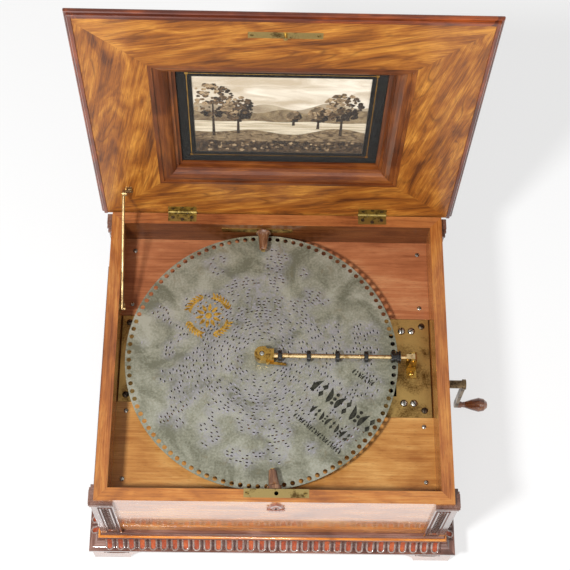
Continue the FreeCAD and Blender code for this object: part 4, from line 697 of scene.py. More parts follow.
class MUSICBOX_OT_tune_disc(bpy.types.Operator):
    """Punches the disc and prints its emblem and rows of ornament"""

    bl_idname = "music_box.tune_disc"
    bl_label = "Tune disc"

    def execute(self, context):
        sizes = context.scene.music_box_disc
        c = context.scene.music_box_colours
        slots = slot_table(sizes)
        sheet = Pile()
        punched_sheet(sheet, sizes, slots)
        zinc = zinc_material(c)
        mark_painted_sheen(sheet.make("disc_sheet", "disc", zinc, "zinc", 30.0, ["tune_disc"]), slots)

        # The smooth land that each punched tab leaves beside its slot, drawn a little brighter and bluer as a painted
        # sheen.
        lands = Pile()
        dice = random.Random(7)
        for radius, angle in slots:
            if dice.random() < 0.25:
                continue
            long = sizes.slot_length * dice.uniform(0.9, 1.5)
            shape = ring_outline(long / 2, 8, 0.5)
            side = radius + sizes.slot_width / 2 + long * 0.2 + 0.25
            outline = turned_outline([(side + y, x) for x, y in shape], angle, 0, 0)
            lands.plate(outline[::-1], 0.02, Matrix.Translation(at(DISC_X, DISC_Y, DISC_TOP)))
        m = mottled("zinc_land_painted_sheen", "#93918c", "#aaa7b0", (7, 7, 7), 0.36, more={"Metallic": 0.5})
        lands.make("disc_lands_painted_sheen", "disc", m, "zinc")
        self.emblem()
        self.ornament_rows()
        return {"FINISHED"}

    def emblem(self):
        """A gilt rosette in a broken wreath of leaves, about 80 mm across."""
        pile = Pile()
        spot = Matrix.Translation(at(-100, 67, DISC_TOP))
        high = 0.05
        pile.plate(ring_outline(5.0, 20), high, spot)
        petals = 10
        for k in range(petals):
            a = 2 * pi * k / petals + 0.2
            pile.plate(turned_outline(teardrop(13.0, 5.4), a, *disc_point(7.0, a)), high, spot)
            dot_x, dot_y = disc_point(21.5, a + pi / petals)
            pile.plate([(dot_x + x, dot_y + y) for x, y in ring_outline(1.3, 8)], high, spot)
        leaves = 7
        for start, end in ((0.35, 1.25), (1.85, 2.75), (3.45, 4.3), (4.95, 5.85)):
            for k in range(leaves):
                a = start + (end - start) * k / (leaves - 1)
                for side in (1, -1):
                    leaf = teardrop(9.0, 3.4, 0.6 * side)
                    pile.plate(turned_outline(leaf, a + pi / 2 - 0.75 * side, *disc_point(31.5, a)), high, spot)
        m = mottled("gilt_print_rubbed", "#8f6a22", "#dcb14f", (6, 6, 6), 0.36, more={"Metallic": 0.75})
        pile.make("disc_gilt_rosette", "disc", m, "old_brass")

    def ornament_rows(self):
        """Four black rows of leaves, lozenges and dots along the disc's lower right."""
        pile = Pile()
        spot = Matrix.Translation(at(0, 0, DISC_TOP))
        rows = (((113, -17), (143, -38), 10.0), ((57, -38), (139, -104), 26.0), ((53, -75), (105, -121), 16.0),
                ((28, -85), (92, -141), 9.0))
        for (x0, y0), (x1, y1), tall in rows:
            run = hypot(x1 - x0, y1 - y0)
            angle = atan2(y1 - y0, x1 - x0)
            count = int(run / (tall * 0.4))
            for k in range(count):
                along = (k + 0.5) * run / count
                cx, cy = x0 + along * cos(angle), y0 + along * sin(angle)
                kind = k % 4
                if kind in (0, 2):
                    lean, sway = (1.35, 0.1) if kind == 0 else (1.8, -0.1)
                    leaf = teardrop(tall, tall * 0.3, tall * sway)
                    shapes = [turned_outline(leaf, lean, -tall * sway * 1.2, -tall * 0.48)]
                elif kind == 1:
                    half = tall * 0.24
                    lozenge = [(0, -half), (half * 0.6, 0), (0, half), (-half * 0.6, 0)]
                    shapes = [[(x, y + lift) for x, y in lozenge] for lift in (-half, half)]
                else:
                    dot = ring_outline(tall * 0.11, 8)
                    shapes = [[(x, y + lift) for x, y in dot] for lift in (-tall * 0.3, 0, tall * 0.3)]
                for shape in shapes:
                    pile.plate(turned_outline(shape, angle, cx, cy), 0.04, spot)
        m = mottled("printers_ink_worn", "#151512", "#38382f", (4, 4, 4), 0.6, more={"Specular IOR Level": 0.15})
        pile.make("disc_black_ornament", "disc", m, "zinc")


# Screws

# A sunk screw stands this far above a plate that the shut lid covers, which is less than half the seam.
FLUSH = 0.07
LEAF_SCREW_PITCH = 14.2
LEAF_SCREW_INSET = 8.3
LEAF_SCREW_ZIGZAG = 1.6
LOCK_SCREW_INSET = 12.5
BEDPLATE_HEAD = 2.6


def screw(head, slot, origin, up, radius, dome, turn):
    """One slotted head: its two domed lands stand on a sunk floor, so that the slot is a real gap."""
    spin = frame_at(origin, Matrix.Rotation(turn, 3, up) @ up.orthogonal(), up)
    half_slot = radius * 0.13
    floor = dome * 0.35
    seat = -0.2
    rows, steps = 4, 10
    slot.lathe([(radius * 0.96, seat), (radius * 0.96, floor)], spin, 16)
    for side in (1, -1):
        points, faces = [], []
        for row in range(rows + 1):
            share = row / rows
            reach = radius * cos(share * pi / 2 * 0.92)
            lift = dome * sin(share * pi / 2)
            lean = asin(min(1.0, half_slot / max(reach, half_slot)))
            for k in range(steps + 1):
                a = lean + (pi - 2 * lean) * k / steps
                points.append((reach * cos(a) * MM, side * reach * sin(a) * MM, lift * MM))
        for row in range(rows):
            for k in range(steps):
                a = row * (steps + 1) + k
                quad = [a, a + 1, a + steps + 2, a + steps + 1]
                faces.append(quad if side > 0 else quad[::-1])
        start = len(points)
        points += [(x, y, seat * MM) for x, y, _ in points[:steps + 1]]
        for k in range(steps):
            quad = [start + k, start + k + 1, k + 1, k]
            faces.append(quad if side > 0 else quad[::-1])
        near = [row * (steps + 1) for row in range(rows + 1)]
        wall = near + [first + steps for first in near[::-1]] + [start + steps, start]
        faces.append(wall if side < 0 else wall[::-1])
        head.put(points, faces, spin)


class MUSICBOX_OT_screws(bpy.types.Operator):
    """Sets a slotted screw in every screw hole"""

    bl_idname = "music_box.screws"
    bl_label = "Screws"

    def execute(self, context):
        sizes = context.scene.music_box_trim
        dice = random.Random(3)
        steel = patinated_metal("steel_screw_bright", "#b3b0a8", "#6d6961", 0.28, 5.0, 0.45)
        brown = patinated_metal("steel_screw_browned", "#5f5346", "#2b231b", 0.4, 4.0, 0.5)
        brass = patinated_metal("brass_screw_old", "#a48a50", "#5f4a28", 0.34, 4.0, 0.5)
        # The slot floors are near black: painted shade in the narrow slots.
        shade = patinated_metal("screw_slot_painted_shade", "#2a241d", "#120f0c", 0.6, 3.0, 0.5)

        heads, slots = Pile(), Pile()
        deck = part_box("deck_back")[1].z / MM
        inner = (BOARD_HIGH.x - BOARD_LOW.x) / 2 - 14.0
        for x in (-inner, inner):
            for y in (94.5, HALF_Y - 38.0, -HALF_Y + 46.0, -74.0 if x < 0 else -93.0):
                screw(heads, slots, at(x, y, deck), ABOVE, 3.4, 1.2, dice.uniform(0, 3))
        heads.make("deck_screw_heads", "case", steel, "spring_steel", 40, ["deck_screws"])
        slots.make("deck_screw_slots", "case", shade, "dark_steel", 40)

        heads, slots = Pile(), Pile()
        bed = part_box("bedplate_screws")[1].z / MM - BEDPLATE_HEAD
        for x in (188.0, 202.6):
            for y in (57.0, -57.0):
                screw(heads, slots, at(x, y, bed), ABOVE, 5.6, BEDPLATE_HEAD, dice.uniform(0, 3))
        heads.make("bedplate_machine_screws", "case", steel, "spring_steel", 40, ["bedplate_screws"])
        wood_heads = Pile()
        for x, y in ((-218, 65), (-218, -49), (218, 65), (218, -68)):
            screw(wood_heads, slots, at(x, y, bed), ABOVE, 5.0, 2.0, dice.uniform(0, 3))
        wood_heads.make("bedplate_wood_screws", "case", brown, "dark_steel", 40)
        slots.make("bedplate_screw_slots", "case", shade, "dark_steel", 40)

        # Three screws in zigzag on each hinge leaf.
        leaf_y = HALF_Y - LEAF_SCREW_INSET
        leaf_spots = [(middle + LEAF_SCREW_PITCH * k, leaf_y + LEAF_SCREW_ZIGZAG * (1 if k else -1))
                      for middle in HINGE_PLACES for k in (-1, 0, 1)]
        lock_y = -HALF_Y + LOCK_SCREW_INSET
        heads, slots, leaf_heads = Pile(), Pile(), Pile()
        for x in (-38.0, 42.0):
            screw(heads, slots, at(x, lock_y, RIM), ABOVE, 3.0, FLUSH, dice.uniform(0, 3))
        for x, y in leaf_spots:
            screw(leaf_heads, slots, at(x, y, RIM), ABOVE, sizes.leaf_screw, FLUSH, dice.uniform(0, 3))
        screw(heads, slots, at(-228.5, 73, RIM - 20.5), Vector((1, 0, 0)), 2.0, 0.5, 0.4)
        heads.make("case_plate_screws", "case", brass, "old_brass", 40)
        leaf_heads.make("case_hinge_screws", "case", brown, "dark_steel", 40)
        slots.make("case_plate_screw_slots", "case", shade, "dark_steel", 40)

        heads, slots, leaf_heads = Pile(), Pile(), Pile()
        down = (OPEN_LID.to_3x3() @ Vector((0, 0, -1))).normalized()
        for x, y in leaf_spots:
            screw(leaf_heads, slots, on_lid(x, y, 0.0), down, sizes.leaf_screw, FLUSH, dice.uniform(0, 3))
        for x in (-39.0, 43.0):
            screw(heads, slots, on_lid(x, lock_y, 0.0), down, 2.6, FLUSH, dice.uniform(0, 3))
        screw(heads, slots, on_lid(-216.5, HALF_Y - 61.0, -1.5), down, 2.0, 0.5, 0.3)
        heads.make("lid_plate_screws", "lid", brass, "old_brass", 40)
        leaf_heads.make("lid_hinge_screws", "lid", brown, "dark_steel", 40)
        slots.make("lid_plate_screw_slots", "lid", shade, "dark_steel", 40)
        return {"FINISHED"}


# Carving

PLINTH_REACH = 25.0
PLINTH_LEDGE = FOOT + 5.0
COVE_START = 10.6
COVE_END = 23.5
COVE_TOP = PLINTH_TOP - 12.4
BEAD_OUT = 8.0
BEAD_DROP = 8.6
BEAD_RADIUS = 2.1
FOOT_REACH = 21.5


def front_face(x, reach=0.0):
    """An upright face at the front: its middle, the direction along it and the direction out of it."""
    return Vector((x, -HALF_Y - reach, 0)), Vector((1, 0, 0)), Vector((0, -1, 0))


def side_face(side, y, reach=0.0):
    return Vector((side * (HALF_X + reach), y, 0)), Vector((0, -side, 0)), Vector((side, 0, 0))


def on_face(face, offset, height, lift):
    """A point of an upright face: so far along it, at a height, and lifted out of it, in millimetres."""
    middle, along, out = face
    spot = middle + along * offset + out * lift
    return at(spot.x, spot.y, height)


def plinth_profile():
    """The plinth's moulding as (reach out of the wall, height) points: two fine steps, the cove and a square
    foot."""
    steps = ((0, 0), (4.6, 0), (4.6, 2.4), (6.2, 3.4), (6.2, 6.2), (COVE_START - 0.8, 10.6), (COVE_START - 0.8, 12.0))
    cove = [cove_point(k / 6) for k in range(7)]
    foot = [(PLINTH_REACH, PLINTH_LEDGE), (PLINTH_REACH, FOOT), (0, FOOT)]
    return [(reach, PLINTH_TOP - drop) for reach, drop in steps] + cove + foot


def three_sides(pile, profile):
    """Runs a profile along the left side, the front and the right side of the case, mitred at the corners."""
    count = len(profile)
    points = []
    for x_side, y_side in ((-1, 1), (-1, -1), (1, -1), (1, 1)):
        for reach, height in profile:
            y = HALF_Y if y_side > 0 else -HALF_Y - reach
            points.append(at(x_side * (HALF_X + reach), y, height))
    faces = [list(range(count)), [3 * count + k for k in range(count)][::-1]]
    for station in range(3):
        for k in range(count):
            n = (k + 1) % count
            a, b = station * count, (station + 1) * count
            faces.append([a + k, b + k, b + n, a + n])
    pile.put(points, faces)


def cove_point(share):
    """A point of the plinth's cove: how far it stands out of the case, and its height."""
    a = share * pi / 2
    return COVE_START + (COVE_END - COVE_START) * (1 - cos(a)), COVE_TOP - (COVE_TOP - PLINTH_LEDGE) * sin(a)


def flute_sites(sizes):
    """The face that each flute is cut in, on the front and on both sides."""
    middle = (sizes.flute_count - 1) / 2
    sites = [front_face((k - middle) * sizes.flute_pitch) for k in range(sizes.flute_count)]
    ends = 8
    count = int((2 * HALF_Y - ends) / sizes.flute_pitch)
    for side in (-1, 1):
        sites += [side_face(side, -HALF_Y + 6.0 + k * sizes.flute_pitch) for k in range(count)]
    return sites


def on_cove(face, offset, share, lift=0.0):
    """A point of the cove under an upright face, the share running from its top edge to its foot."""
    reach, height = cove_point(share)
    a = share * pi / 2
    out, up = cos(a) * 0.6 + 0.35, sin(a) * 0.6 + 0.2
    return on_face(face, offset, height + lift * up, reach + lift * out)


class MUSICBOX_OT_plinth_carving(bpy.types.Operator):
    """Carves the row of flutes in the plinth's cove"""

    bl_idname = "music_box.plinth_carving"
    bl_label = "Plinth carving"

    def execute(self, context):
        sizes = context.scene.music_box_trim
        body, bead = Pile(), Pile()
        three_sides(body, plinth_profile())
        dull = wood(
            "walnut_plinth_moulding", "#3c1d14", "#6f4638", "#a07a6c", "x", MOULDING_VEINS,
            rough=0.2, coat=0.8, mitre=PLINTH_MITRE, shift=7.0)
        body.make("plinth_mouldings", "case", dull, "walnut_carved", 25, ["base_mouldings"])
        ring = ring_outline(BEAD_RADIUS, 8)
        three_sides(bead, [(BEAD_OUT + x, PLINTH_TOP - BEAD_DROP + z) for x, z in ring])
        # The bead is coloured bright orange: a painted highlight along the polished bead.
        rubbed = wood(
            "walnut_bead_painted_highlight", "#8a3f0e", "#cf7a1e", "#eba043", "x", MOULDING_VEINS,
            rough=0.2, coat=0.5, mitre=PLINTH_MITRE, shift=23.0)
        bead.make("plinth_bead", "case", rubbed, "walnut_carved", 60)
        rims, hollows, darts = Pile(), Pile(), Pile()
        half = sizes.flute_half
        for face in flute_sites(sizes):
            out = face[2]
            # The raised rim runs down one side of the flute, round its foot and up the other side.
            levels = (0.04, 0.2, 0.4, 0.6, 0.74)
            path = [on_cove(face, -half, s, 0.3) for s in levels]
            for k in range(1, 6):
                a = pi * k / 6
                path.append(on_cove(face, -half * cos(a), levels[-1] + 0.2 * sin(a), 0.3))
            path += [on_cove(face, half, s, 0.3) for s in levels[::-1]]
            rims.tube(path, sizes.flute_rim, 6, out)
            # The floor of the niche, a shallow hollow between the rims.
            points = []
            across = (-0.9, -0.5, 0, 0.5, 0.9)
            floor = ((0.05, 1.0), (0.25, 1.0), (0.45, 1.0), (0.62, 1.0), (0.76, 0.75), (0.86, 0.4))
            for s, narrow in floor:
                points += [on_cove(face, half * narrow * w, s, 0.12 + 0.5 * w ** 2) for w in across]
            wide = len(across)
            hollows.put(points, [[r + k, r + wide + k, r + wide + k + 1, r + k + 1]
                                 for r in range(0, wide * (len(floor) - 1), wide) for k in range(wide - 1)])
            between = sizes.flute_pitch / 2
            darts.tube([on_cove(face, between, s, 0.15) for s in (0.06, 0.3, 0.55, 0.78, 0.93)], 1.1, 6, out)
        # The rims are pale grey: a painted highlight where the raised rims catch the light.
        finish = wood("walnut_flute_rim_painted_highlight", "#5d4238", "#947f76", "#b5a69e", "x",
                      CARVED_VEINS, rough=0.2, coat=0.8, shift=21.0)
        red = wood("walnut_flute_hollow", "#54200c", "#a3411a", "#c4632a", "z",
                   (30, 8, 8), rough=0.4, coat=0.1, shift=22.0)
        dark = wood("walnut_dart_shadow", "#241009", "#46231a", "#6e4a3d", "z",
                    (30, 8, 8), rough=0.4, coat=0.1, shift=28.0)
        carved = ((rims, "plinth_flute_rims", finish), (hollows, "plinth_flute_hollows", red),
                  (darts, "plinth_darts", dark))
        for pile, name, material in carved:
            pile.make(name, "case", material, "walnut_carved", 60)
        return {"FINISHED"}


class MUSICBOX_OT_post_carving(bpy.types.Operator):
    """Frames each corner post and carves its column of rungs"""

    bl_idname = "music_box.post_carving"
    bl_label = "Post carving"

    def execute(self, context):
        sizes = context.scene.music_box_trim
        self.posts()
        beads, rungs = Pile(), Pile()
        top = RIM - 22.0
        low = PLINTH_TOP + 6.0
        half = 8.6
        faces = []
        for side in (-1, 1):
            faces.append((front_face(side * (HALF_X + POST_REACH - POST_WIDTH / 2), POST_REACH), side))
            for y in (-HALF_Y - POST_REACH + POST_WIDTH / 2, HALF_Y - (POST_WIDTH - POST_REACH) / 2):
                faces.append((side_face(side, y, POST_REACH), 0))
        for face, side in faces:
            out = face[2]
            centre = -side * 2.5
            for edge in (centre - half, centre + half):
                beads.tube([on_face(face, edge, low, 0.2), on_face(face, edge, top, 0.2)], 0.9, 6, out)
            for height in (low, top):
                ends = [on_face(face, centre + edge, height, 0.2) for edge in (-half, half)]
                beads.tube(ends, 0.9, 6, out)
            if side:
                ends = [on_face(face, -side * 12.4, height, 0.1) for height in (PLINTH_TOP + 1.0, RIM - 17.5)]
                beads.tube(ends, 0.8, 6, out)
            for k in range(sizes.rung_count):
                height = top - 8.0 - k * sizes.rung_pitch
                if height < low + 5:
                    break
                # A cup with two short horns over a small raised dot.
                cup = [(4.6 * cos(a), 3.0 * sin(a)) for a in (pi * (1 + j / 6) for j in range(7))]
                path = [(-4.6, 3.2)] + cup + [(4.6, 3.2)]
                rungs.tube([on_face(face, centre + x, height + z, 0.25) for x, z in path], 0.75, 5, out)
                grid = frame_at(on_face(face, centre, height + 1.0, -0.05), face[1], out)
                rungs.plate(ring_outline(1.8, 8, 0.8), 0.9, grid, 0.9)
        bead = wood("walnut_post_bead", "#2d140c", "#553025", "#7c5548", "z",
                    CARVED_VEINS, rough=0.5, coat=0.0, shift=24.0)
        cut = wood("walnut_post_rungs", "#241611", "#4a332a", "#6b5146", "z",
                   CARVED_VEINS, rough=0.6, coat=0.0, shift=25.0)
        beads.make("post_beads", "case", bead, "walnut_carved", 60)
        rungs.make("post_rungs", "case", cut, "walnut_carved", 60)
        return {"FINISHED"}

    def posts(self):
        """The four posts: a shaft and a stepped capital that spreads to the side more than to the front. Each tier
        is (reach to the side, reach to the front, lower edge, upper edge, how much shorter it is along the side)."""
        shaft_top, neck, step, top = RIM - 17.0, RIM - 13.2, RIM - 10.0, RIM - 6.0
        tiers = (
            (POST_REACH, POST_REACH, PLINTH_TOP, shaft_top, 0.0),
            (POST_REACH + 1.6, POST_REACH + 0.6, shaft_top, neck, 0.0),
            (POST_REACH + 3.0, POST_REACH + 0.2, neck, step, 5.0),
            (8.0, 3.4, step, top, 10.0),
        )
        square = [[3, 2, 1, 0], [4, 5, 6, 7]]
        square += [[k, (k + 1) % 4, 4 + (k + 1) % 4, 4 + k] for k in range(4)]
        pile = Pile()
        for side in (-1, 1):
            for front in (True, False):
                inner = HALF_X + POST_REACH - POST_WIDTH if front else HALF_X
                for out, ahead, low, high, short in tiers:
                    outer = side * (HALF_X + out)
                    along = POST_WIDTH - POST_REACH - short
                    if front:
                        strips = ((side * inner, -HALF_Y - ahead, -HALF_Y), (side * HALF_X, -HALF_Y, -HALF_Y + along))
                    else:
                        strips = ((side * inner, HALF_Y - along, HALF_Y),)
                    for x, y0, y1 in strips:
                        corners = ((x, y0), (outer, y0), (outer, y1), (x, y1))
                        points = [at(px, py, z) for z in (low, high) for px, py in corners]
                        pile.put(points, square if side > 0 else [face[::-1] for face in square])
        polished = wood(
            "walnut_post", "#3a1c12", "#6d4a3c", "#947264", "z", (200, 12, 12), rough=0.2, coat=0.85, shift=8.0)
        pile.make("corner_post_shafts", "case", polished, "walnut_carved", 30, ["corner_posts"])


class MUSICBOX_OT_foot_carving(bpy.types.Operator):
    """Carves a long lozenge in the face of each bracket foot"""

    bl_idname = "music_box.foot_carving"
    bl_label = "Foot carving"

    def execute(self, context):
        lines = Pile()
        faces = []
        for side in (-1, 1):
            faces.append(front_face(side * (HALF_X - 14.0), FOOT_REACH))
            faces += [side_face(side, y, FOOT_REACH) for y in (-HALF_Y + 14.0, HALF_Y - 34.0)]
        middle = FOOT - 15.0
        lozenge = ((-15, 0), (-9, 3.2), (9, 3.2), (15, 0), (9, -3.2), (-9, -3.2), (-15, 0))
        for face in faces:
            lines.tube([on_face(face, x, middle + z, 0.1) for x, z in lozenge], 0.7, 6, face[2])
            for x in (-17.5, 17.5):
                dot = frame_at(on_face(face, x, middle, -0.05), face[1], face[2])
                lines.plate(ring_outline(1.9, 10), 1.0, dot, 1.0)
        # The lozenge and its two end dots are drawn dark: painted shade, the shade that a carved ring shows at its
        # sides.
        cut = wood("walnut_foot_lines_painted_shade", "#2f1a12", "#54382c", "#7c5d4c", "x",
                   CARVED_VEINS, rough=0.6, coat=0.0, shift=26.0)
        lines.make("foot_lozenges", "case", cut, "walnut_carved", 60)
        return {"FINISHED"}


class MUSICBOX_OT_key_shield(bpy.types.Operator):
    """Carves the wooden shield round the keyhole"""

    bl_idname = "music_box.key_shield"
    bl_label = "Key shield"

    def execute(self, context):
        low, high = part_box("keyhole_escutcheon")
        middle = (low + high) / 2
        tall = (high.z - low.z) / MM
        wide = (high.x - low.x) / MM
        deep = (high.y - low.y) / MM
        front = deep * 0.72
        grid = frame_at(Vector((middle.x, high.y, middle.z)), Vector((1, 0, 0)), Vector((0, -1, 0)))
        # The right half of the shield, as shares of its width and height.
        shares = ((0.0, 0.5), (0.34, 0.49), (0.46, 0.36), (0.5, 0.12), (0.40, -0.04), (0.36, -0.22),
                  (0.24, -0.38), (0.0, -0.5))
        half = [(x * wide, z * tall) for x, z in shares]
        outline = half + [(-x, z) for x, z in half[1:-1]][::-1]
        shield, leaves = Pile(), Pile()
        turned = [(x, -z) for x, z in outline]
        shield.plate(turned, front, grid, 2.4)
        for k in range(7):
            a = radians(-155 + k * 21.5)
            leaf = turned_outline(teardrop(8.5, 3.6), a, 6.4 * cos(a), 5.5 * sin(a) + 1)
            leaves.plate(leaf, 1.2, grid @ Matrix.Translation((0, 0, deep * 0.68 * MM)), 1.0)
        ring = [grid @ Vector((x * MM, y * MM, front * MM)) for x, y in ring_outline(4.4, 16, 1.4)]
        leaves.tube(ring + ring[:1], 0.7, 6, Vector((0, -1, 0)))
        finish = wood("fruitwood_shield", "#5a2a16", "#9a5a3c", "#c08663", "z",
                      (40, 8, 8), rough=0.24, coat=0.7, shift=27.0)
        shield.make("key_shield", "case", finish, "fruitwood", 40, ["keyhole_escutcheon"])
        leaves.make("key_shield_leaves", "case", finish, "fruitwood", 50)
        hole = Pile()
        mouth = grid @ Matrix.Translation((0, 0, front * MM))
        outline = [(x, y - 2.2) for x, y in ring_outline(1.9, 12)]
        hole.plate(outline, 0.08, mouth)
        hole.plate([(-0.9, -2), (0.9, -2), (1.3, 4.6), (-1.3, 4.6)], 0.08, mouth)
        dark = patinated_metal("keyhole_shadow", "#1b1512", "#0c0908", 0.7, 3.0, 0.5)
        hole.make("keyhole_mouth", "case", dark, "dark_steel", 40)
        return {"FINISHED"}


# The picture under glass. Heights are those of the shut lid, so a lower one lies nearer to the glass.

MAT_FACE = 21.97
PRINT_FACE = 23.5
INK_LAYER = 0.04


def picture_spot(x, up, layer):
    """A point of the picture: right and up from its middle, in millimetres, on a layer in front of the paper."""
    return on_lid(x, PRINT_YC - up, PRINT_FACE - INK_LAYER * layer)


class MUSICBOX_OT_picture(bpy.types.Operator):
    """Mounts a brown landscape print in a black mat with a gilt line"""

    bl_idname = "music_box.picture"
    bl_label = "Picture"

    def execute(self, context):
        sizes = context.scene.music_box_trim
        c = context.scene.music_box_colours
        finish_all(["picture_mat"], mottled(
            "mat_board_black", "#12100e", "#1c1916", (1.2,) * 3, 0.9, lid=True, relief_mm=0.03,
            more={"Specular IOR Level": 0.03}))
        gilt = patinated_metal("gilt_line", c.gilt, "#8f6a22", 0.35, 12.0, 0.4)
        lines = Pile()
        half_x, half_y = PRINT_HALF_X + 6.5, PRINT_HALF_Y + 6.5
        wide = sizes.gilt_line / 2
        strips = [(0, s * half_y, half_x, wide) for s in (1, -1)] + [(s * half_x, 0, wide, half_y) for s in (1, -1)]
        strips += [(sx * half_x, sy * half_y, 2.2, 2.2) for sx in (1, -1) for sy in (1, -1)]
        for number, (cx, cy, rx, ry) in enumerate(strips):
            square = ((-rx, -ry), (rx, -ry), (rx, ry), (-rx, ry))
            height = MAT_FACE - 0.02 * (number > 3)
            lines.put([on_lid(cx + x, PRINT_YC - cy - y, height) for x, y in square], [[0, 1, 2, 3]])
        lines.make("mat_gilt_lines", "lid", gilt, "mat_board")
        self.print_layers()
        return {"FINISHED"}

    def paper(self, name, low, high, size=(4, 4, 4)):
        """Brown printing ink on aged paper, with the fine stipple of a printed plate."""
        return mottled(name, low, high, size, 0.7, lid=True, swirl=0.8, more={"Specular IOR Level": 0.12})

    def print_layers(self):
        dice = random.Random(19)
        half_x, half_y = PRINT_HALF_X, PRINT_HALF_Y
        sky = self.paper("print_sky", "#c3b298", "#eee4d2", (90, 26, 26))
        finish_all(["picture_print"], sky)

        def ridge(base, swing, seed, low, layer, material, name):
            waves = random.Random(seed)
            parts = [(waves.uniform(0.01, 0.09), waves.uniform(0, 6), waves.uniform(0.2, 1.0)) for _ in range(5)]
            pile = Pile()
            top = []
            steps = 60
            for k in range(steps + 1):
                x = -half_x + 2 * half_x * k / steps
                lift = sum(size * sin(x * rate + start) for rate, start, size in parts)
                top.append((x, max(low + 1, base + swing * lift / 2)))
            points = [picture_spot(x, y, layer) for x, y in top] + [picture_spot(x, low, layer) for x, _ in top]
            pile.put(points, [[k, k + 1, steps + k + 2, steps + k + 1] for k in range(steps)])
            pile.make(name, "lid", material, "print_paper")

        ground = (
            ("print_far_hills", 26, 15, 3, -22, "#95836a", "#b9a98e", (30, 30, 30)),
            ("print_near_hills", 12, 10, 8, -24, "#6a5740", "#94805f", (14, 14, 14)),
            ("print_lake", -14, 2, 5, -52, "#b5a486", "#e6dac2", (60, 3, 3)),
            ("print_meadow", -38, 8, 12, -half_y, "#4e3b28", "#96805f", (9, 5, 5)),
            ("print_bank", -62, 7, 15, -half_y, "#2a1e14", "#5f4a32", (6, 6, 6)),
        )
        for layer, (name, base, swing, seed, low, shade, tint, size) in enumerate(ground, 1):
            ridge(base, swing, seed, low, layer, self.paper(name, shade, tint, size), name)

        dark = self.paper("print_leaves_dark", "#20160e", "#3f2e1e")
        middle = self.paper("print_leaves", "#453322", "#72593c")
        light = self.paper("print_leaves_lit", "#83694a", "#b89e79")
        piles = [Pile(), Pile(), Pile()]

        def blob(pile, x, y, radius, layer):
            if abs(x) + radius > half_x or abs(y) + radius > half_y:
                return
            sides = 9
            outline = [(x + px * dice.uniform(0.6, 1.1), y + py * dice.uniform(0.6, 1.1))
                       for px, py in ring_outline(radius, sides)]
            outline = [(max(-half_x, min(half_x, px)), max(-half_y, min(half_y, py))) for px, py in outline]
            pile.put([picture_spot(px, py, layer) for px, py in outline], [list(range(sides))])

        def tree(x, foot, tall, spread_x, seed):
            trunk = [(x - 2.2, foot), (x + 2.2, foot), (x + 1.0, foot + tall * 0.7), (x - 0.8, foot + tall * 0.7)]
            piles[0].put([picture_spot(px, py, 6) for px, py in trunk], [[0, 1, 2, 3]])
            pick = random.Random(seed)
            for _ in range(150):
                a, r = pick.uniform(0, 2 * pi), sqrt(pick.random())
                px = x + spread_x * r * cos(a)
                py = foot + tall * 0.72 + tall * 0.34 * r * sin(a)
                lit = (px - x) / spread_x * -0.5 + (py - foot - tall * 0.7) / tall + pick.uniform(-0.4, 0.4)
                index = 0 if lit < 0.0 else 1 if lit < 0.35 else 2
                blob(piles[index], px, py, pick.uniform(1.6, 5.0), 7 + index)

        trees = ((-92, -50, 118, 30), (-58, -44, 84, 20), (84, -46, 96, 26), (52, -30, 48, 13), (18, -22, 30, 9))
        for seed, (x, foot, tall, spread_x) in enumerate(trees, 1):
            tree(x, foot, tall, spread_x, seed)
        for _ in range(230):
            x = dice.uniform(-half_x + 6, half_x - 6)
            y = dice.uniform(-half_y + 5, -62)
            blob(piles[dice.choice((0, 0, 1, 2))], x, y, dice.uniform(1.2, 4.2), 9)
        for pile, material, name in zip(piles, (dark, middle, light), ("dark", "middle", "lit")):
            pile.make("print_foliage_" + name, "lid", material, "print_paper")


# The stage

FLOOR_REACH = 6.0
PHOTO_WIDTH = 570
LENS_PIXELS = 1317.6
SENSOR_MM = 36.0
CAMERA_SPOT = at(-24.28, -708.2, 1760.9 + RIM)


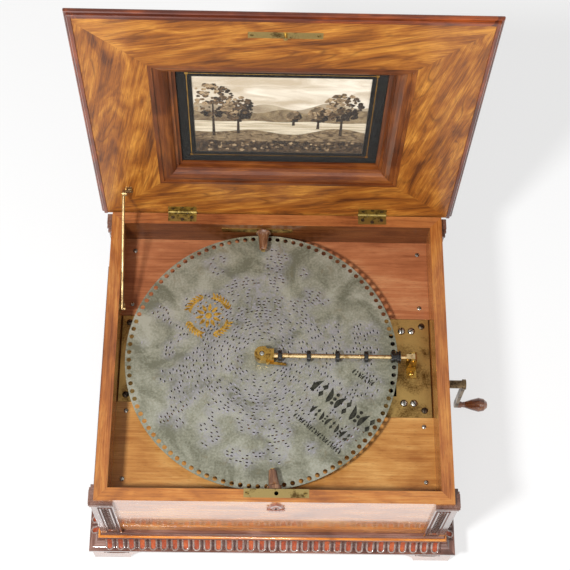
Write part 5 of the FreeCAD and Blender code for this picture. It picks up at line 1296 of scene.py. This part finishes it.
class MUSICBOX_OT_stage(bpy.types.Operator):
    """Sets the floor, the lamps and the camera"""

    bl_idname = "music_box.stage"
    bl_label = "Stage"

    def execute(self, context):
        scene = context.scene
        self.floor()
        self.world(scene)
        self.lamps()
        self.camera(scene)
        scene.view_settings.view_transform = "Standard"
        return {"FINISHED"}

    def floor(self):
        mesh = bpy.data.meshes.new("floor")
        corners = [(x * FLOOR_REACH, y * FLOOR_REACH, 0) for x, y in ((-1, -1), (1, -1), (1, 1), (-1, 1))]
        mesh.from_pydata(corners, [], [(0, 1, 2, 3)])
        m = new_material("floor_white_paper")
        fibre = blotches(m, place(m), (3, 3, 3), 2.0)
        tone = add(m, "ValToRGB", {0: fibre}, stops=[(0.3, (0.84, 0.84, 0.84)), (0.7, (0.87, 0.87, 0.87))])
        paper = add(m, "BsdfPrincipled", {"Base Color": tone, "Roughness": 0.9, "Specular IOR Level": 0.1})
        path = add(m, "LightPath").node.outputs
        # The floor glows a little, so that it stays pale in the picture and keeps the shadow. In reflections it
        # is as bright as a lit paper sweep.
        strength = add(m, "MapRange", {"Value": path["Is Glossy Ray"], "To Min": 1.06, "To Max": 1.5})
        lit = add(m, "Emission", {"Color": (1, 1, 1), "Strength": strength})
        through = add(m, "Math", {0: path["Is Glossy Ray"], 1: path["Is Transmission Ray"]}, operation="MAXIMUM")
        seen = add(m, "Math", {0: path["Is Camera Ray"], 1: through}, operation="MAXIMUM")
        share = add(m, "Math", {0: seen, 1: 0.62}, operation="MULTIPLY")
        add(m, "OutputMaterial", {"Surface": add(m, "MixShader", {0: share, 1: paper, 2: lit})})
        mesh.materials.append(m)
        made = bpy.data.objects.new("floor", mesh)
        bpy.context.scene.collection.objects.link(made)

    def world(self, scene):
        world = bpy.data.worlds.new("soft_studio")
        scene.world = world
        world.use_nodes = True
        world.node_tree.nodes.clear()
        # The first background lights the object. The camera sees the second, which is white, and so in part do
        # reflections.
        lighting = add(world, "Background", {"Color": (1.0, 0.99, 0.975), "Strength": 0.34})
        seen = add(world, "Background", {"Color": (1, 1, 1), "Strength": 1.0})
        path = add(world, "LightPath").node.outputs
        either = add(world, "Math", {0: path["Is Camera Ray"], 1: path["Is Transmission Ray"]}, operation="MAXIMUM")
        glossy = add(world, "Math", {0: path["Is Glossy Ray"], 1: 0.6}, operation="MULTIPLY")
        share = add(world, "Math", {0: either, 1: glossy}, operation="MAXIMUM")
        add(world, "OutputWorld", {"Surface": add(world, "MixShader", {0: share, 1: lighting, 2: seen})})

    def lamps(self):
        for name, spot, aim, size, watts in (
            ("key", (-0.95, -1.02, 2.3), (0, 0, 0.25), 0.3, 60.0),
            ("fill", (1.3, -0.9, 1.5), (0, 0, 0.25), 1.2, 5.0),
            ("front", (0.0, -1.9, 0.75), (0, -0.1, 0.3), 1.3, 8.0),
        ):
            lamp = bpy.data.lights.new(name, "AREA")
            lamp.shape = "DISK"
            lamp.size = size
            lamp.energy = watts
            made = bpy.data.objects.new(name, lamp)
            made.location = spot
            made.rotation_euler = (Vector(aim) - Vector(spot)).to_track_quat("-Z", "Y").to_euler()
            bpy.context.scene.collection.objects.link(made)

    def camera(self, scene):
        # The camera's three turns, fitted to the rim, the deck and the disc as photographed.
        pitch, yaw, roll = radians(65.15), radians(2.58), radians(3.20)
        ahead = Vector((sin(yaw) * cos(pitch), cos(yaw) * cos(pitch), -sin(pitch)))
        right = Vector((cos(yaw), -sin(yaw), 0))
        up = right.cross(ahead)
        rolled_right = right * cos(roll) + up * sin(roll)
        rolled_up = up * cos(roll) - right * sin(roll)
        lens = bpy.data.cameras.new("photo_camera")
        lens.sensor_fit = "HORIZONTAL"
        lens.sensor_width = SENSOR_MM
        lens.lens = LENS_PIXELS / PHOTO_WIDTH * SENSOR_MM
        lens.shift_x = -0.22 / PHOTO_WIDTH
        lens.shift_y = -0.62 / PHOTO_WIDTH
        lens.clip_end = 50.0
        made = bpy.data.objects.new("photo_camera", lens)
        rotation = Matrix((rolled_right, rolled_up, -ahead)).transposed().to_4x4()
        made.matrix_world = Matrix.Translation(CAMERA_SPOT) @ rotation
        scene.collection.objects.link(made)
        scene.camera = made


class MUSICBOX_PT_panel(bpy.types.Panel):
    """Shows the sizes and colours of the music box and a button for each step"""

    bl_idname = "MUSICBOX_PT_panel"
    bl_label = "Music Box"
    bl_space_type = "VIEW_3D"
    bl_region_type = "UI"
    bl_category = "Music Box"

    def draw(self, context):
        layout = self.layout
        for group in (context.scene.music_box_disc, context.scene.music_box_trim, context.scene.music_box_colours):
            column = layout.column(align=True)
            for name in group.bl_rna.properties.keys():
                if name not in ("rna_type", "name"):
                    column.prop(group, name)
        for operator in OPERATORS:
            layout.operator(operator.bl_idname)


GROUPS = (
    ("music_box_disc", MusicBoxDiscSettings),
    ("music_box_trim", MusicBoxTrimSettings),
    ("music_box_colours", MusicBoxColours),
)
OPERATORS = (
    MUSICBOX_OT_woodwork,
    MUSICBOX_OT_metalwork,
    MUSICBOX_OT_tune_disc,
    MUSICBOX_OT_screws,
    MUSICBOX_OT_plinth_carving,
    MUSICBOX_OT_post_carving,
    MUSICBOX_OT_foot_carving,
    MUSICBOX_OT_key_shield,
    MUSICBOX_OT_picture,
    MUSICBOX_OT_stage,
)


def register():
    for name, group in GROUPS:
        bpy.utils.register_class(group)
        setattr(bpy.types.Scene, name, PointerProperty(type=group))
    for operator in OPERATORS:
        bpy.utils.register_class(operator)
    bpy.utils.register_class(MUSICBOX_PT_panel)


def unregister():
    bpy.utils.unregister_class(MUSICBOX_PT_panel)
    for operator in reversed(OPERATORS):
        bpy.utils.unregister_class(operator)
    for name, group in reversed(GROUPS):
        delattr(bpy.types.Scene, name)
        bpy.utils.unregister_class(group)


def main():
    register()
    for operator in OPERATORS:
        group, call = operator.bl_idname.split(".")
        getattr(getattr(bpy.ops, group), call)()


if __name__ == "__main__":
    main()
